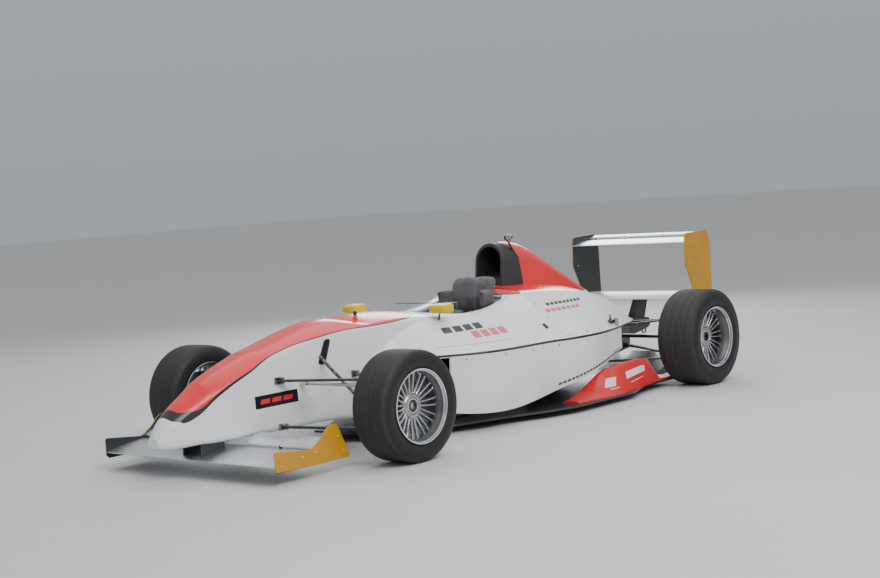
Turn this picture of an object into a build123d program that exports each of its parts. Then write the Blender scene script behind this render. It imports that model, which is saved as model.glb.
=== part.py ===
from build123d import *
import os

# Single seat open wheel racing car. Lengths in mm, +X forward, +Y left, +Z up.
# Stations are measured forward from the front axle, heights up from the road.

# Overall
WHEELBASE = 2650
FRONT_OVERHANG = 915
REAR_OVERHANG = 635
REAR_AXLE = -WHEELBASE
TAIL_END = REAR_AXLE - REAR_OVERHANG
CENTRE_SHIFT = -(FRONT_OVERHANG + TAIL_END) / 2
RUNNING_GAP = 0.05
SEAT_GAP = 0.3

# Wheels and tyres, one row per axle
FRONT_TRACK = 1506
REAR_TRACK = 1440
FRONT_TYRE_RADIUS = 268
REAR_TYRE_RADIUS = 284
FRONT_TYRE_WIDTH = 222
REAR_TYRE_WIDTH = 254
RIM_FLANGE_RADIUS = 180
BEAD_RADIUS = 166
BARREL_WALL = 7
RIM_EDGE_INSET = 2
SPOKE_PAIRS = 12
HUB_FACE_RADIUS = 52
FRONT_DISH = 60
REAR_DISH = 95
FRONT_HUB_INNER = -40
REAR_HUB_INNER = -60
STUB_RADIUS = 20

# Rear upright, inboard of the wheel's middle plane
REAR_UPRIGHT_INSET = 80
REAR_UPRIGHT_Y = REAR_TRACK / 2 - REAR_UPRIGHT_INSET

# Front suspension
KINGPIN_INSET = 63
KINGPIN_Y = FRONT_TRACK / 2 - KINGPIN_INSET
KINGPIN_LOW = 150
KINGPIN_HIGH = 392
EYE_RADIUS = 15
EYE_HEIGHT = 14
PIN_RADIUS = 6
KNUCKLE_BOSS_RADIUS = 12
KNUCKLE_BOSS_HEIGHT = 5
ARM_CHORD = 15
ARM_THICK = 6
STEER_ARM_X = 105
STEER_ARM_Y = KINGPIN_Y - 70
STEER_ARM_Z = 372
RACK_HALF = 210
RACK_RADIUS = 11
ROD_RADIUS = 8
ROD_EYE_HEIGHT = 17
ROD_PIN_RADIUS = 5
COLUMN_RAKE = 15
COLUMN_LENGTH = 170
COLUMN_RADIUS = 14
STEERING_X = -985
STEERING_Z = 470

# Body shell
WALL = 16
POD_WALL = 10
COVER_WALL = 8
NOSE_SPLIT = 330
TUB_END = -1500
ENGINE_END = -2020
BULKHEAD = 30
OPENING_BACK = -1455

# Body sections: station, half bottom, z bottom, half shoulder, z shoulder, z crown, corner radius
JOINT_ROW = (NOSE_SPLIT, 146, 157, 138, 504, 556, 28)
NOSE = (
    (915, 40, 174, 34, 206, 222, 12),
    (870, 62, 163, 56, 240, 282, 20),
    (780, 88, 160, 80, 298, 356, 26),
    (640, 110, 158, 108, 368, 442, 28),
    (560, 121, 157, 118, 408, 478, 28),
    (450, 133, 157, 129, 454, 518, 28),
    JOINT_ROW,
)
TUB = (
    JOINT_ROW,
    (120, 167, 158, 152, 562, 602, 28),
    (-100, 185, 155, 180, 592, 650, 28),
    (-350, 225, 120, 238, 612, 626, 28),
    (-650, 262, 70, 285, 614, 648, 28),
    (-1000, 280, 47, 300, 590, 604, 28),
    (TUB_END, 280, 47, 300, 668, 690, 28),
)

# Level shut line between the upper cover and the pod walls
SHUT_HEIGHT = 402
SHUT_SLOPE = 0.0173

# Rear wing
REAR_PLATE_Y = 432
PLATE_THICKNESS = 6

# Floor
FLOOR_LOW = 35
FLOOR_TOP = 47

# Side pod sections: station, y shoulder, y bottom, z bottom, y inner, z top inner
POD = (
    (-650, 485, 470, 118, 286, 596),
    (-800, 572, 560, 98, 292, 594),
    (-1100, 602, 590, 97, 300, 592),
    (-1500, 600, 592, 150, 300, 664),
    (-1900, 565, 560, 215, 300, 640),
    (-2080, 510, 506, 245, 285, 612),
    (-2230, 452, 450, 262, 270, 590),
)

# Engine cover sections: station, y shoulder, y rim, z rim, z crown
COVER = (
    (TUB_END - SEAT_GAP, 600, 300, 668, 700),
    (-1690, 592, 295, 656, 696),
    (-1880, 568, 287, 638, 688),
    (-2110, 500, 268, 611, 655),
    (-2310, 420, 240, 566, 610),
    (-2500, 340, 200, 512, 556),
    (-2640, 270, 150, 440, 470),
)

# Hump behind the air intake: station, half width, z base, z top
HUMP = (
    (-1862, 92, 640, 912),
    (-2120, 62, 600, 788),
    (-2400, 36, 540, 642),
    (-2560, 20, 480, 556),
)

# Air intake collar
INTAKE = (
    (-1560, 104, 694, 930),
    (-1700, 102, 690, 940),
    (-1859, 92, 684, 912),
)

# Tail box: station, half width, z low, z high
TAIL_BOX = (
    (-2850, 70, 250, 370),
    (-3120, 45, 285, 350),
)

SPAN_ROWS = 3
SHIFT = Pos(CENTRE_SHIFT, 0, 0)


def across(station):
    """Plane across the car at a station, with y to the left and z up."""
    return Plane(origin=(station, 0, 0), x_dir=(0, 1, 0), z_dir=(1, 0, 0))


def side_plate(points, y_from, y_to):
    """Flat plate cut to a side outline of (station, height) points."""
    outline = Polyline(*points, close=True)
    plane = Plane(origin=(0, y_from, 0), x_dir=(1, 0, 0), z_dir=(0, -1, 0))
    return extrude(plane * make_face(outline), -(y_to - y_from))


def plan_plate(points, z_from, z_to):
    """Flat plate cut to a plan outline of (station, y) points."""
    outline = Polyline(*points, close=True)
    return Pos(0, 0, z_from) * extrude(make_face(outline), z_to - z_from)


def mirrored(points):
    """Outline on the left side continued by its mirror image on the right."""
    return list(points) + [(x, -y) for x, y in reversed(points)]


def block(x_from, x_to, y_from, y_to, z_from, z_to):
    """Plain block between two corners."""
    size = (abs(x_to - x_from), abs(y_to - y_from), abs(z_to - z_from))
    centre = ((x_from + x_to) / 2, (y_from + y_to) / 2, (z_from + z_to) / 2)
    return Pos(*centre) * Box(*size)


def rod(start, end, radius):
    """Round bar from one point to another."""
    axis = Vector(*end) - Vector(*start)
    plane = Plane(origin=start, z_dir=axis)
    return extrude(plane * Circle(radius), axis.length)


def blade(start, end, chord=ARM_CHORD, thick=ARM_THICK):
    """Arm of flat sided oval tube, its long axis level."""
    axis = Vector(*end) - Vector(*start)
    level = axis.cross(Vector(0, 0, 1))
    plane = Plane(origin=start, x_dir=level, z_dir=axis)
    return extrude(plane * SlotOverall(2 * chord, 2 * thick), axis.length)


def turned(profile, y_centre, z_centre, station):
    """Ring turned about a wheel's axis from (offset outboard, radius) points."""
    face = make_face(Polyline(*[(r, o) for o, r in profile], close=True))
    ring = revolve(Plane.XZ * face, Axis.Z)
    return Pos(station, y_centre, z_centre) * Rot(-90, 0, 0) * ring


def both_sides(solid):
    """The left piece and its mirror image on the right."""
    return solid + mirror(solid, Plane.XZ)


def crowned_section(row, inset=0):
    """Flat bottom, leaning sides and an arched top, with rounded corners."""
    station, half_low, z_low, half_top, z_top, z_crown, radius = row
    low, top = half_low - inset, half_top - inset
    bottom, shoulder, crown = z_low + inset, z_top - inset, z_crown - inset
    sides = Polyline((top, shoulder), (low, bottom), (-low, bottom), (-top, shoulder))
    arch = ThreePointArc((-top, shoulder), (0, crown), (top, shoulder))
    face = make_face(sides + arch)
    face = fillet(face.vertices(), max(radius - inset, 4))
    return across(station) * face


def smooth_loft(section, rows, inset=0):
    """Smooth form through a table of sections, lofted four sections at a time."""
    form = None
    for first in range(0, len(rows) - 1, SPAN_ROWS):
        part = loft([section(row, inset) for row in rows[first:first + SPAN_ROWS + 1]])
        form = part if form is None else form + part
    return form


def body_form(rows, inset=0):
    """Nose or tub form from its table."""
    return smooth_loft(crowned_section, rows, inset)


def nose_cone():
    """Nose, ahead of the front bulkhead and its shut line."""
    return body_form(NOSE) - block(NOSE_SPLIT - 1, NOSE_SPLIT + SEAT_GAP, -400, 400, 0, 900)


def cockpit_opening():
    """Plan of the cockpit opening, cut down from above."""
    side = [(-880, 0), (-895, 120), (-960, 190), (-1060, 228), (-1400, 232), (OPENING_BACK, 200)]
    return plan_plate(mirrored(side[1:]), 420, 900)


def tub_hollow(inset=WALL):
    """Space inside the tub between its bulkheads."""
    space = body_form(TUB, inset) - block(TUB_END - 1, 0, -400, 400, 0, FLOOR_TOP + SEAT_GAP + inset)
    space -= block(TUB_END - 1, TUB_END + BULKHEAD, -400, 400, 0, 900)
    return space - block(NOSE_SPLIT - BULKHEAD, NOSE_SPLIT + 1, -400, 400, 0, 900)


def monocoque():
    """Hollow tub with bulkheads, cockpit opening and holes for the steering rack."""
    tub = body_form(TUB) - tub_hollow() - cockpit_opening()
    tub -= block(TUB_END - 1, 0, -400, 400, 0, FLOOR_TOP + SEAT_GAP)
    reach = 400
    hole = rod((STEER_ARM_X, -reach, STEER_ARM_Z), (STEER_ARM_X, reach, STEER_ARM_Z),
               RACK_RADIUS + RUNNING_GAP)
    return tub - hole


def shut_line(station):
    """Height of the shut line at a station."""
    return SHUT_HEIGHT + SHUT_SLOPE * (station - TUB_END)


def pod_section(row, inset=0):
    """Sloping top down to the shoulder, then a near upright wall to the bottom edge."""
    station, y_top, y_low, z_low, y_in, z_in = row
    z_top = shut_line(station)
    points = (
        (y_in + SEAT_GAP + inset, z_in - 1.2 * inset),
        (y_top - inset, z_top - 0.6 * inset),
        (y_low - inset, z_low + inset),
        (y_in + SEAT_GAP + inset, z_low + inset),
    )
    return across(station) * make_face(Polyline(*points, close=True))


def side_pod():
    """Left side pod: a shell open at the front intake and at the rear outlet."""
    shell = smooth_loft(pod_section, POD)
    duct = smooth_loft(pod_section, POD, POD_WALL)
    behind = POD[-1][0] - 20
    lid = side_plate(((TUB_END, shut_line(TUB_END) - SEAT_GAP), (TUB_END, 900), (behind, 900),
                      (behind, shut_line(behind) - SEAT_GAP)), 0, 700)
    ahead = block(POD[0][0] - 1, POD[0][0] + 60, 0, 700, 0, 900)
    return shell - duct - lid - ahead - body_form(TUB, -SEAT_GAP)


def cover_section(row, inset=0):
    """Sloping sides from the shoulder up to the rim and an arched top."""
    station, y_low, y_rim, z_rim, z_crown = row
    low, rim = y_low - 1.4 * inset, y_rim - inset
    bottom, rim_z, crown = shut_line(station), z_rim - inset, z_crown - inset
    sides = Polyline((rim, rim_z), (low, bottom), (-low, bottom), (-rim, rim_z))
    arch = ThreePointArc((-rim, rim_z), (0, crown), (rim, rim_z))
    return across(station) * make_face(sides + arch)


def arch_section(row, inset=0):
    """Upright sides under a round arch."""
    station, half, z_base, z_top = row
    half, top = half - inset, z_top - inset
    spring = top - half
    sides = Polyline((half, spring), (half, z_base), (-half, z_base), (-half, spring))
    arch = ThreePointArc((-half, spring), (0, top), (half, spring))
    return across(station) * make_face(sides + arch)


def engine_cover():
    """Shell over the engine with the tapering hump behind the intake."""
    outside = smooth_loft(cover_section, COVER) + loft([arch_section(row) for row in HUMP])
    inside = smooth_loft(cover_section, COVER, COVER_WALL)
    return outside - inside


def air_intake():
    """Arched intake collar over the roll hoop, open at the front."""
    collar = loft([arch_section(row) for row in INTAKE])
    mouth = (INTAKE[0][0] + 1, INTAKE[0][1] - 16, INTAKE[0][2] + 60, INTAKE[0][3] - 16)
    throat = (INTAKE[1][0] - 40, 60, mouth[2] + 30, INTAKE[1][3] - 60)
    collar -= loft([arch_section(mouth), arch_section(throat)])
    return collar - smooth_loft(cover_section, COVER, -SEAT_GAP)


def roll_hoop_camera():
    """Small camera on a stalk at the left of the intake."""
    body = block(-1770, -1680, 62, 98, 948, 985)
    stalk = rod((-1720, 80, 880), (-1720, 80, 950), 7)
    return body + stalk - loft([arch_section(row, -SEAT_GAP) for row in INTAKE])


def front_wing():
    """Main plane with a flap and the two plates that hang it under the nose."""
    span = 614
    plane = side_plate(((730, 84), (722, 96), (560, 118), (470, 128), (470, 122), (700, 80)), -span, span)
    flap = side_plate(((480, 132), (470, 140), (400, 176), (396, 170), (470, 128)), -span, span)
    gap = block(380, 482, -150, 150, 120, 190)
    hanger = side_plate(((690, 90), (690, 170), (545, 170), (545, 112)), 62, 70)
    hanger -= body_form(NOSE, -SEAT_GAP)
    return plane + (flap - gap) + both_sides(hanger)


def front_endplates():
    """Endplates with the raised rear corner."""
    outline = ((730, 66), (730, 160), (506, 136), (440, 175), (396, 219), (370, 231),
               (335, 228), (325, 215), (257, 62), (480, 60))
    return both_sides(side_plate(outline, 614, 620))


def rear_planes():
    """Upper wing with its flap, and the beam wing under it."""
    half = REAR_PLATE_Y
    main = side_plate(((-2992, 826), (-3000, 838), (-3080, 856), (-3195, 862), (-3195, 858),
                       (-3080, 838), (-3000, 820)), -half, half)
    flap = side_plate(((-3185, 864), (-3192, 874), (-3262, 890), (-3262, 885), (-3195, 863)), -half, half)
    beam = side_plate(((-3035, 468), (-3045, 482), (-3120, 505), (-3205, 518), (-3205, 513),
                       (-3120, 488), (-3050, 464)), -half, half)
    return main + flap + beam


def rear_endplates():
    """Rear endplates, cut back under the main plane."""
    outline = ((-3000, 891), (-3250, 897), (TAIL_END, 850), (TAIL_END, 458), (-3050, 458),
               (-3052, 572), (-2996, 680), (-2986, 704))
    plate = side_plate(outline, REAR_PLATE_Y, REAR_PLATE_Y + PLATE_THICKNESS)
    return both_sides(plate)


def floor():
    """Flat floor under the tub and pods with the upswept diffuser."""
    side = [(-330, 230), (-420, 250), (-700, 420), (-1000, 520), (-1256, 634), (-1455, 690),
            (-1980, 690), (-2250, 584), (-2560, 580), (-2560, 500)]
    flat = plan_plate(mirrored(side), FLOOR_LOW, FLOOR_TOP)
    return flat + diffuser()


def diffuser():
    """Upswept tail of the floor with upright strakes."""
    sweep = side_plate(((-2400, 35), (-2560, 35), (-2900, 150), (-2900, 158), (-2560, 47), (-2400, 47)), -430, 430)
    strake = side_plate(((-2560, 35), (-2900, 60), (-2900, 152), (-2560, 40)), -3, 3)
    return sweep + Pos(0, 0, 0) * strake + both_sides(Pos(0, 424, 0) * strake)


def floor_fairing():
    """Ramp on the floor ahead of the left rear wheel."""
    # station, y inner, y ridge, z ridge, y edge
    table = (
        (-1290, 560, 600, 60, 640),
        (-1500, 500, 560, 88, 686),
        (-1800, 470, 560, 170, 688),
        (-2120, 430, 540, 236, 630),
        (-2330, 400, 500, 214, 582),
    )
    sections = []
    for station, y_in, y_ridge, z_ridge, y_edge in table:
        points = ((y_in, 47), (y_in, z_ridge), (y_ridge, z_ridge), (y_edge, 56), (y_edge, 47))
        sections.append(across(station) * make_face(Polyline(*points, close=True)))
    return loft(sections, ruled=True)


def engine():
    """Engine as one plain block behind the tub."""
    return block(TUB_END - SEAT_GAP, ENGINE_END, -190, 190, 60, 540)


def gearbox():
    """Gearbox case tapering to the tail."""
    # station, half width, z low, z high
    table = ((ENGINE_END, 150, 70, 430), (-2300, 130, 120, 400), (TAIL_BOX[0][0], 80, 190, 380))
    sections = []
    for station, half, low, high in table:
        points = ((half, low), (half, high), (-half, high), (-half, low))
        sections.append(across(station) * make_face(Polyline(*points, close=True)))
    return loft(sections, ruled=True)


def crash_structure():
    """Tapered tail box with the rain light on its end."""
    sections = []
    for station, half, low, high in TAIL_BOX:
        points = ((half, low), (half, high), (-half, high), (-half, low))
        sections.append(across(station) * make_face(Polyline(*points, close=True)))
    end = TAIL_BOX[-1][0]
    lamp = block(end, end - 20, -40, 40, 290, 345)
    return loft(sections, ruled=True) + lamp


def wing_pillars():
    """Two plates that carry the beam wing from the tail box."""
    outline = ((-3000, tail_top(-3000)), (-3100, tail_top(-3100)), (-3150, 485), (-3070, 470))
    return both_sides(side_plate(outline, 25, 33))


def tail_top(station):
    """Height just clear of the tail box's top at a station."""
    (front, _, _, high), (back, _, _, low) = TAIL_BOX
    return high + (low - high) * (station - front) / (back - front) + SEAT_GAP


def exhaust():
    """Exhaust pipe along the left of the gearbox."""
    start = ENGINE_END - SEAT_GAP
    pipe = rod((start, 182, 300), (-2560, 182, 300), 27)
    return pipe - rod((-2300, 182, 300), (-2561, 182, 300), 24)


def radiators():
    """Radiator cores in the pods."""
    core = Pos(-1050, 430, 248) * Rot(0, 0, 25) * Box(50, 200, 280)
    return both_sides(core)


def seat():
    """Reclined driver's seat."""
    outline = ((-850, 40), (-1250, 40), (-1440, 470), (-1410, 480), (-1230, 110), (-850, 100))
    return side_plate(outline, -200, 200) & tub_hollow(WALL + SEAT_GAP)


def headrest():
    """Padded surround behind the driver's head."""
    back = OPENING_BACK + SEAT_GAP
    return block(back + 85, back, -150, 150, 560, 740) - block(back + 100, back + 20, -110, 110, 550, 800)


def dashboard():
    """Instrument panel under the cowl with the column bush."""
    panel = block(-830, -850, -300, 300, 395, 700) & tub_hollow(WALL + SEAT_GAP)
    return panel - steering_wheel(RUNNING_GAP)


def windscreen():
    """Clear wrapped screen on the cowl."""
    plan = [(-845, 0), (-880, 110), (-960, 190), (-1100, 236)]
    outer = plan_plate(mirrored(plan), 560, 665)
    inner = plan_plate(mirrored([(x - 8, y - 5 if y else 0) for x, y in plan] + [(-1200, 236)]), 550, 670)
    return outer - inner - body_form(TUB, -SEAT_GAP)


def mirrors():
    """Door mirrors on stalks from the tub sides."""
    housing = block(-850, -735, 255, 383, 622, 672)
    stalk = rod((-790, 296, 560), (-790, 325, 630), 5) - body_form(TUB, -SEAT_GAP) - smooth_loft(pod_section, POD)
    return both_sides(housing + stalk)


# Wheel axles: name, station, track, tyre radius, tyre width
AXLES = (
    ("front", 0, FRONT_TRACK, FRONT_TYRE_RADIUS, FRONT_TYRE_WIDTH),
    ("rear", REAR_AXLE, REAR_TRACK, REAR_TYRE_RADIUS, REAR_TYRE_WIDTH),
)


def tyre(radius, width):
    """Slick tyre seated on the rim."""
    half = width / 2
    return [(-half + 14, RIM_FLANGE_RADIUS - 2), (-half, RIM_FLANGE_RADIUS + 30), (-half + 8, radius - 16),
            (-half + 26, radius), (half - 26, radius), (half - 8, radius - 16),
            (half, RIM_FLANGE_RADIUS + 30), (half - 14, RIM_FLANGE_RADIUS - 2),
            (half - 14, BEAD_RADIUS + SEAT_GAP), (-half + 14, BEAD_RADIUS + SEAT_GAP)]


def rim(width, dish):
    """Rim barrel with a flange at each edge, hub face and paired spokes."""
    edge = width / 2 - RIM_EDGE_INSET
    bore = BEAD_RADIUS - BARREL_WALL
    barrel = turned(((-edge, RIM_FLANGE_RADIUS), (-edge + 8, RIM_FLANGE_RADIUS), (-edge + 12, BEAD_RADIUS),
                     (edge - 12, BEAD_RADIUS), (edge - 8, RIM_FLANGE_RADIUS), (edge, RIM_FLANGE_RADIUS),
                     (edge, RIM_FLANGE_RADIUS - 8), (edge - 10, bore), (-edge + 10, bore),
                     (-edge, RIM_FLANGE_RADIUS - 8)), 0, 0, 0)
    face = edge - dish
    centre = turned(((face - 20, 22), (face, 22), (face, HUB_FACE_RADIUS), (face - 20, HUB_FACE_RADIUS)), 0, 0, 0)
    spoke = block(-4, 4, face - 18, face - 4, HUB_FACE_RADIUS - 6, bore + 2)
    wheel = barrel + centre
    for index in range(SPOKE_PAIRS):
        angle = 360 * index / SPOKE_PAIRS
        wheel += Rot(0, angle - 5, 0) * spoke
        wheel += Rot(0, angle + 5, 0) * spoke
    return wheel


def hub(dish, width, inner):
    """Hub on the stub axle with the brake disc."""
    face = width / 2 - RIM_EDGE_INSET - dish - 20
    sleeve = turned(((inner, 40), (face - SEAT_GAP, 40), (face - SEAT_GAP, 20 + RUNNING_GAP),
                     (inner, 20 + RUNNING_GAP)), 0, 0, 0)
    disc = turned(((inner + 8, 38), (inner + 18, 38), (inner + 18, 130), (inner + 8, 130)), 0, 0, 0)
    return sleeve + disc


def export(name, solid):
    """Write one piece, moved from stations to the car's centre."""
    export_step(SHIFT * solid, os.path.join("parts", name + ".step"))


def knuckle():
    """Left upright with stub axle, kingpin ends, steering arm and caliper."""
    centre = FRONT_TYRE_RADIUS
    low = KINGPIN_LOW + EYE_HEIGHT / 2 + SEAT_GAP
    high = KINGPIN_HIGH - EYE_HEIGHT / 2 - SEAT_GAP
    upright = block(-28, 28, KINGPIN_Y - 20, KINGPIN_Y + 14, low + KNUCKLE_BOSS_HEIGHT, high - KNUCKLE_BOSS_HEIGHT)
    upright += rod((0, KINGPIN_Y, low), (0, KINGPIN_Y, high), KNUCKLE_BOSS_RADIUS)
    wheel_y = FRONT_TRACK / 2
    stub = rod((0, KINGPIN_Y, centre), (0, wheel_y + FRONT_TYRE_WIDTH / 2 - FRONT_DISH - 10, centre), STUB_RADIUS)
    pins = rod((0, KINGPIN_Y, KINGPIN_LOW - 11), (0, KINGPIN_Y, KINGPIN_HIGH + 11), PIN_RADIUS)
    arm_z = STEER_ARM_Z - ROD_EYE_HEIGHT / 2 - SEAT_GAP - 10
    arm = rod((20, KINGPIN_Y - 4, arm_z), (STEER_ARM_X, STEER_ARM_Y, arm_z), 8)
    boss = Pos(STEER_ARM_X, STEER_ARM_Y, arm_z) * Cylinder(11, 20)
    pin = rod((STEER_ARM_X, STEER_ARM_Y, arm_z), (STEER_ARM_X, STEER_ARM_Y, STEER_ARM_Z + 12), ROD_PIN_RADIUS)
    disc_y = wheel_y + FRONT_HUB_INNER + 8
    caliper = block(-140, -60, disc_y - 18, disc_y + 28, centre - 40, centre + 40)
    caliper -= block(-132, -50, disc_y - 4, disc_y + 14, centre - 90, centre + 90)
    bracket = block(-70, -20, KINGPIN_Y - 15, disc_y - 10, centre - 20, centre + 20)
    return upright + stub + pins + arm + boss + pin + caliper + bracket


def track_rod():
    """Left track rod between the steering arm and the rack."""
    inner = RACK_HALF + 5
    bar = rod((STEER_ARM_X, inner, STEER_ARM_Z), (STEER_ARM_X, STEER_ARM_Y, STEER_ARM_Z), ROD_RADIUS)
    eye = Pos(STEER_ARM_X, STEER_ARM_Y, STEER_ARM_Z)
    bar += eye * Cylinder(13, ROD_EYE_HEIGHT)
    return bar - eye * Cylinder(ROD_PIN_RADIUS + RUNNING_GAP, 40)


def front_arms():
    """Upper and lower wishbones of the front axle."""
    arms = None
    for z_out, legs in ((KINGPIN_HIGH, ((241, 150, 402), (-234, 200, 376))),
                        (KINGPIN_LOW, ((246, 150, 176), (-234, 200, 150)))):
        eye = Pos(0, KINGPIN_Y, z_out) * Cylinder(EYE_RADIUS, EYE_HEIGHT)
        bone = eye
        for foot in legs:
            bone += blade(foot, (0, KINGPIN_Y, z_out))
        bone -= body_form(TUB, -SEAT_GAP)
        bone -= Pos(0, KINGPIN_Y, z_out) * Cylinder(PIN_RADIUS + RUNNING_GAP, 60)
        arms = bone if arms is None else arms + bone
    return both_sides(arms)


def push_rods():
    """Push rods from the lower wishbones up to the tub sides."""
    front = rod((-4, 600, 168), (-28, 150, 500), 9) - body_form(TUB, -SEAT_GAP)
    return both_sides(front)


def rear_arms():
    """Upper and lower wishbones of the rear axle."""
    arms = None
    for z_out, legs in ((400, ((-2380, 90, 352), (-2760, 60, 350))),
                        (160, ((-2380, 90, 150), (-2800, 60, 210)))):
        bone = None
        for foot in legs:
            leg = blade(foot, (REAR_AXLE, REAR_UPRIGHT_Y, z_out))
            bone = leg if bone is None else bone + leg
        arms = bone if arms is None else arms + bone
    arms -= block(REAR_AXLE - 60, REAR_AXLE + 60, REAR_UPRIGHT_Y - 20 - SEAT_GAP, REAR_UPRIGHT_Y + 60, 100, 500)
    return both_sides(arms - gearbox())


def rear_uprights():
    """Uprights that carry the rear hubs."""
    plate = block(REAR_AXLE - 40, REAR_AXLE + 40, REAR_UPRIGHT_Y - 20, REAR_UPRIGHT_Y + 12, 150, 410)
    wheel_y = REAR_TRACK / 2
    stub = rod((REAR_AXLE, REAR_UPRIGHT_Y, REAR_TYRE_RADIUS),
               (REAR_AXLE, wheel_y + REAR_TYRE_WIDTH / 2 - REAR_DISH - 10, REAR_TYRE_RADIUS), STUB_RADIUS)
    return both_sides(plate + stub)


def steering_wheel(gap=0):
    """Steering wheel on its column."""
    ring = Torus(118, 14)
    spokes = Box(40, 230, 16)
    column = Pos(0, 0, COLUMN_LENGTH / 2) * Cylinder(COLUMN_RADIUS + gap, COLUMN_LENGTH)
    return Pos(STEERING_X, 0, STEERING_Z) * Rot(0, 90 + COLUMN_RAKE, 0) * (ring + spokes + column)


def main():
    os.makedirs("parts", exist_ok=True)
    export("nose_cone", nose_cone())
    export("monocoque", monocoque())
    pod = side_pod()
    export("side_pod_left", pod)
    export("side_pod_right", mirror(pod, Plane.XZ))
    export("engine_cover", engine_cover())
    export("air_intake", air_intake())
    export("hoop_camera", roll_hoop_camera())
    export("front_wing", front_wing())
    export("front_endplates", front_endplates())
    export("rear_planes", rear_planes())
    export("rear_endplates", rear_endplates())
    export("floor", floor())
    export("floor_fairings", both_sides(floor_fairing()))
    export("engine", engine())
    export("gearbox", gearbox())
    export("crash_structure", crash_structure())
    export("wing_pillars", wing_pillars())
    export("exhaust", exhaust())
    export("radiators", radiators())
    export("seat", seat())
    export("headrest", headrest())
    export("dashboard", dashboard())
    export("windscreen", windscreen())
    export("mirrors", mirrors())
    export("front_arms", front_arms())
    export("push_rods", push_rods())
    export("rear_arms", rear_arms())
    export("rear_uprights", rear_uprights())
    export("steering_wheel", steering_wheel())
    export("steering_rack", rod((STEER_ARM_X, -RACK_HALF, STEER_ARM_Z), (STEER_ARM_X, RACK_HALF, STEER_ARM_Z),
                                RACK_RADIUS))
    left_knuckle, left_rod = knuckle(), track_rod()
    for side, flip in (("left", False), ("right", True)):
        export("knuckle_" + side, mirror(left_knuckle, Plane.XZ) if flip else left_knuckle)
        export("track_rod_" + side, mirror(left_rod, Plane.XZ) if flip else left_rod)
    for name, station, track, radius, width in AXLES:
        dish = FRONT_DISH if name == "front" else REAR_DISH
        inner = FRONT_HUB_INNER if name == "front" else REAR_HUB_INNER
        place = Pos(station, track / 2, radius)
        pieces = (
            ("tyre", turned(tyre(radius, width), 0, 0, 0)),
            ("rim", rim(width, dish)),
            ("hub", hub(dish, width, inner)),
        )
        for kind, piece in pieces:
            left = place * piece
            export(f"{kind}_{name}_left", left)
            export(f"{kind}_{name}_right", mirror(left, Plane.XZ))


main()
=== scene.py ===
import math

import bmesh
import bpy
from mathutils import Matrix, Vector


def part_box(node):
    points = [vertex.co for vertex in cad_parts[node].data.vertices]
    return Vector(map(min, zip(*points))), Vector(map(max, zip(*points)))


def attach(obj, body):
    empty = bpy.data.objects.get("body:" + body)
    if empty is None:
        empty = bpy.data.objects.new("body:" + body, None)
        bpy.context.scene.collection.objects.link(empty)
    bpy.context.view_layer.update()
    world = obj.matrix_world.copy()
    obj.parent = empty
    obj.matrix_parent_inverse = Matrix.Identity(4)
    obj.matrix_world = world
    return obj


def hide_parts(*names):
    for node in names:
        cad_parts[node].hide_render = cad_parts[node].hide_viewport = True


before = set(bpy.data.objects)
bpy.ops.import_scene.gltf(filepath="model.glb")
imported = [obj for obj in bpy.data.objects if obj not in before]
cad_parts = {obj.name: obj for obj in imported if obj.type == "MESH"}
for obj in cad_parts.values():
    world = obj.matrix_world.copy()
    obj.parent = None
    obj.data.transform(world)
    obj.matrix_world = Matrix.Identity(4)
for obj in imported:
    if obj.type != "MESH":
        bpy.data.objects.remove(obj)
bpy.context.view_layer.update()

# Single seat open wheel racing car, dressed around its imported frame. Lengths in metres, +X forward,
# +Y left, +Z up. Places are taken from the frame's boxes, and the livery from the values below.


def middle(node):
    """Centre of a node's box."""
    low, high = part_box(node)
    return (Vector(low) + Vector(high)) / 2


def corner(node, axis, high):
    """One limit of a node's box along an axis."""
    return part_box(node)[1 if high else 0][axis]


FRONT_AXLE = middle("tyre_front_left").x
CAMERA_PLACE = Vector((6.587, 5.808, 1.2814))
CAMERA_YAW = 3.86655236
CAMERA_PITCH = -0.0641191
CAMERA_ROLL = -0.0707419
CAMERA_LENS = 64.4
SENSOR_WIDTH = 36.0


def station(millimetres):
    """Model x of a station measured forward from the front axle."""
    return FRONT_AXLE + millimetres / 1000


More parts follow.
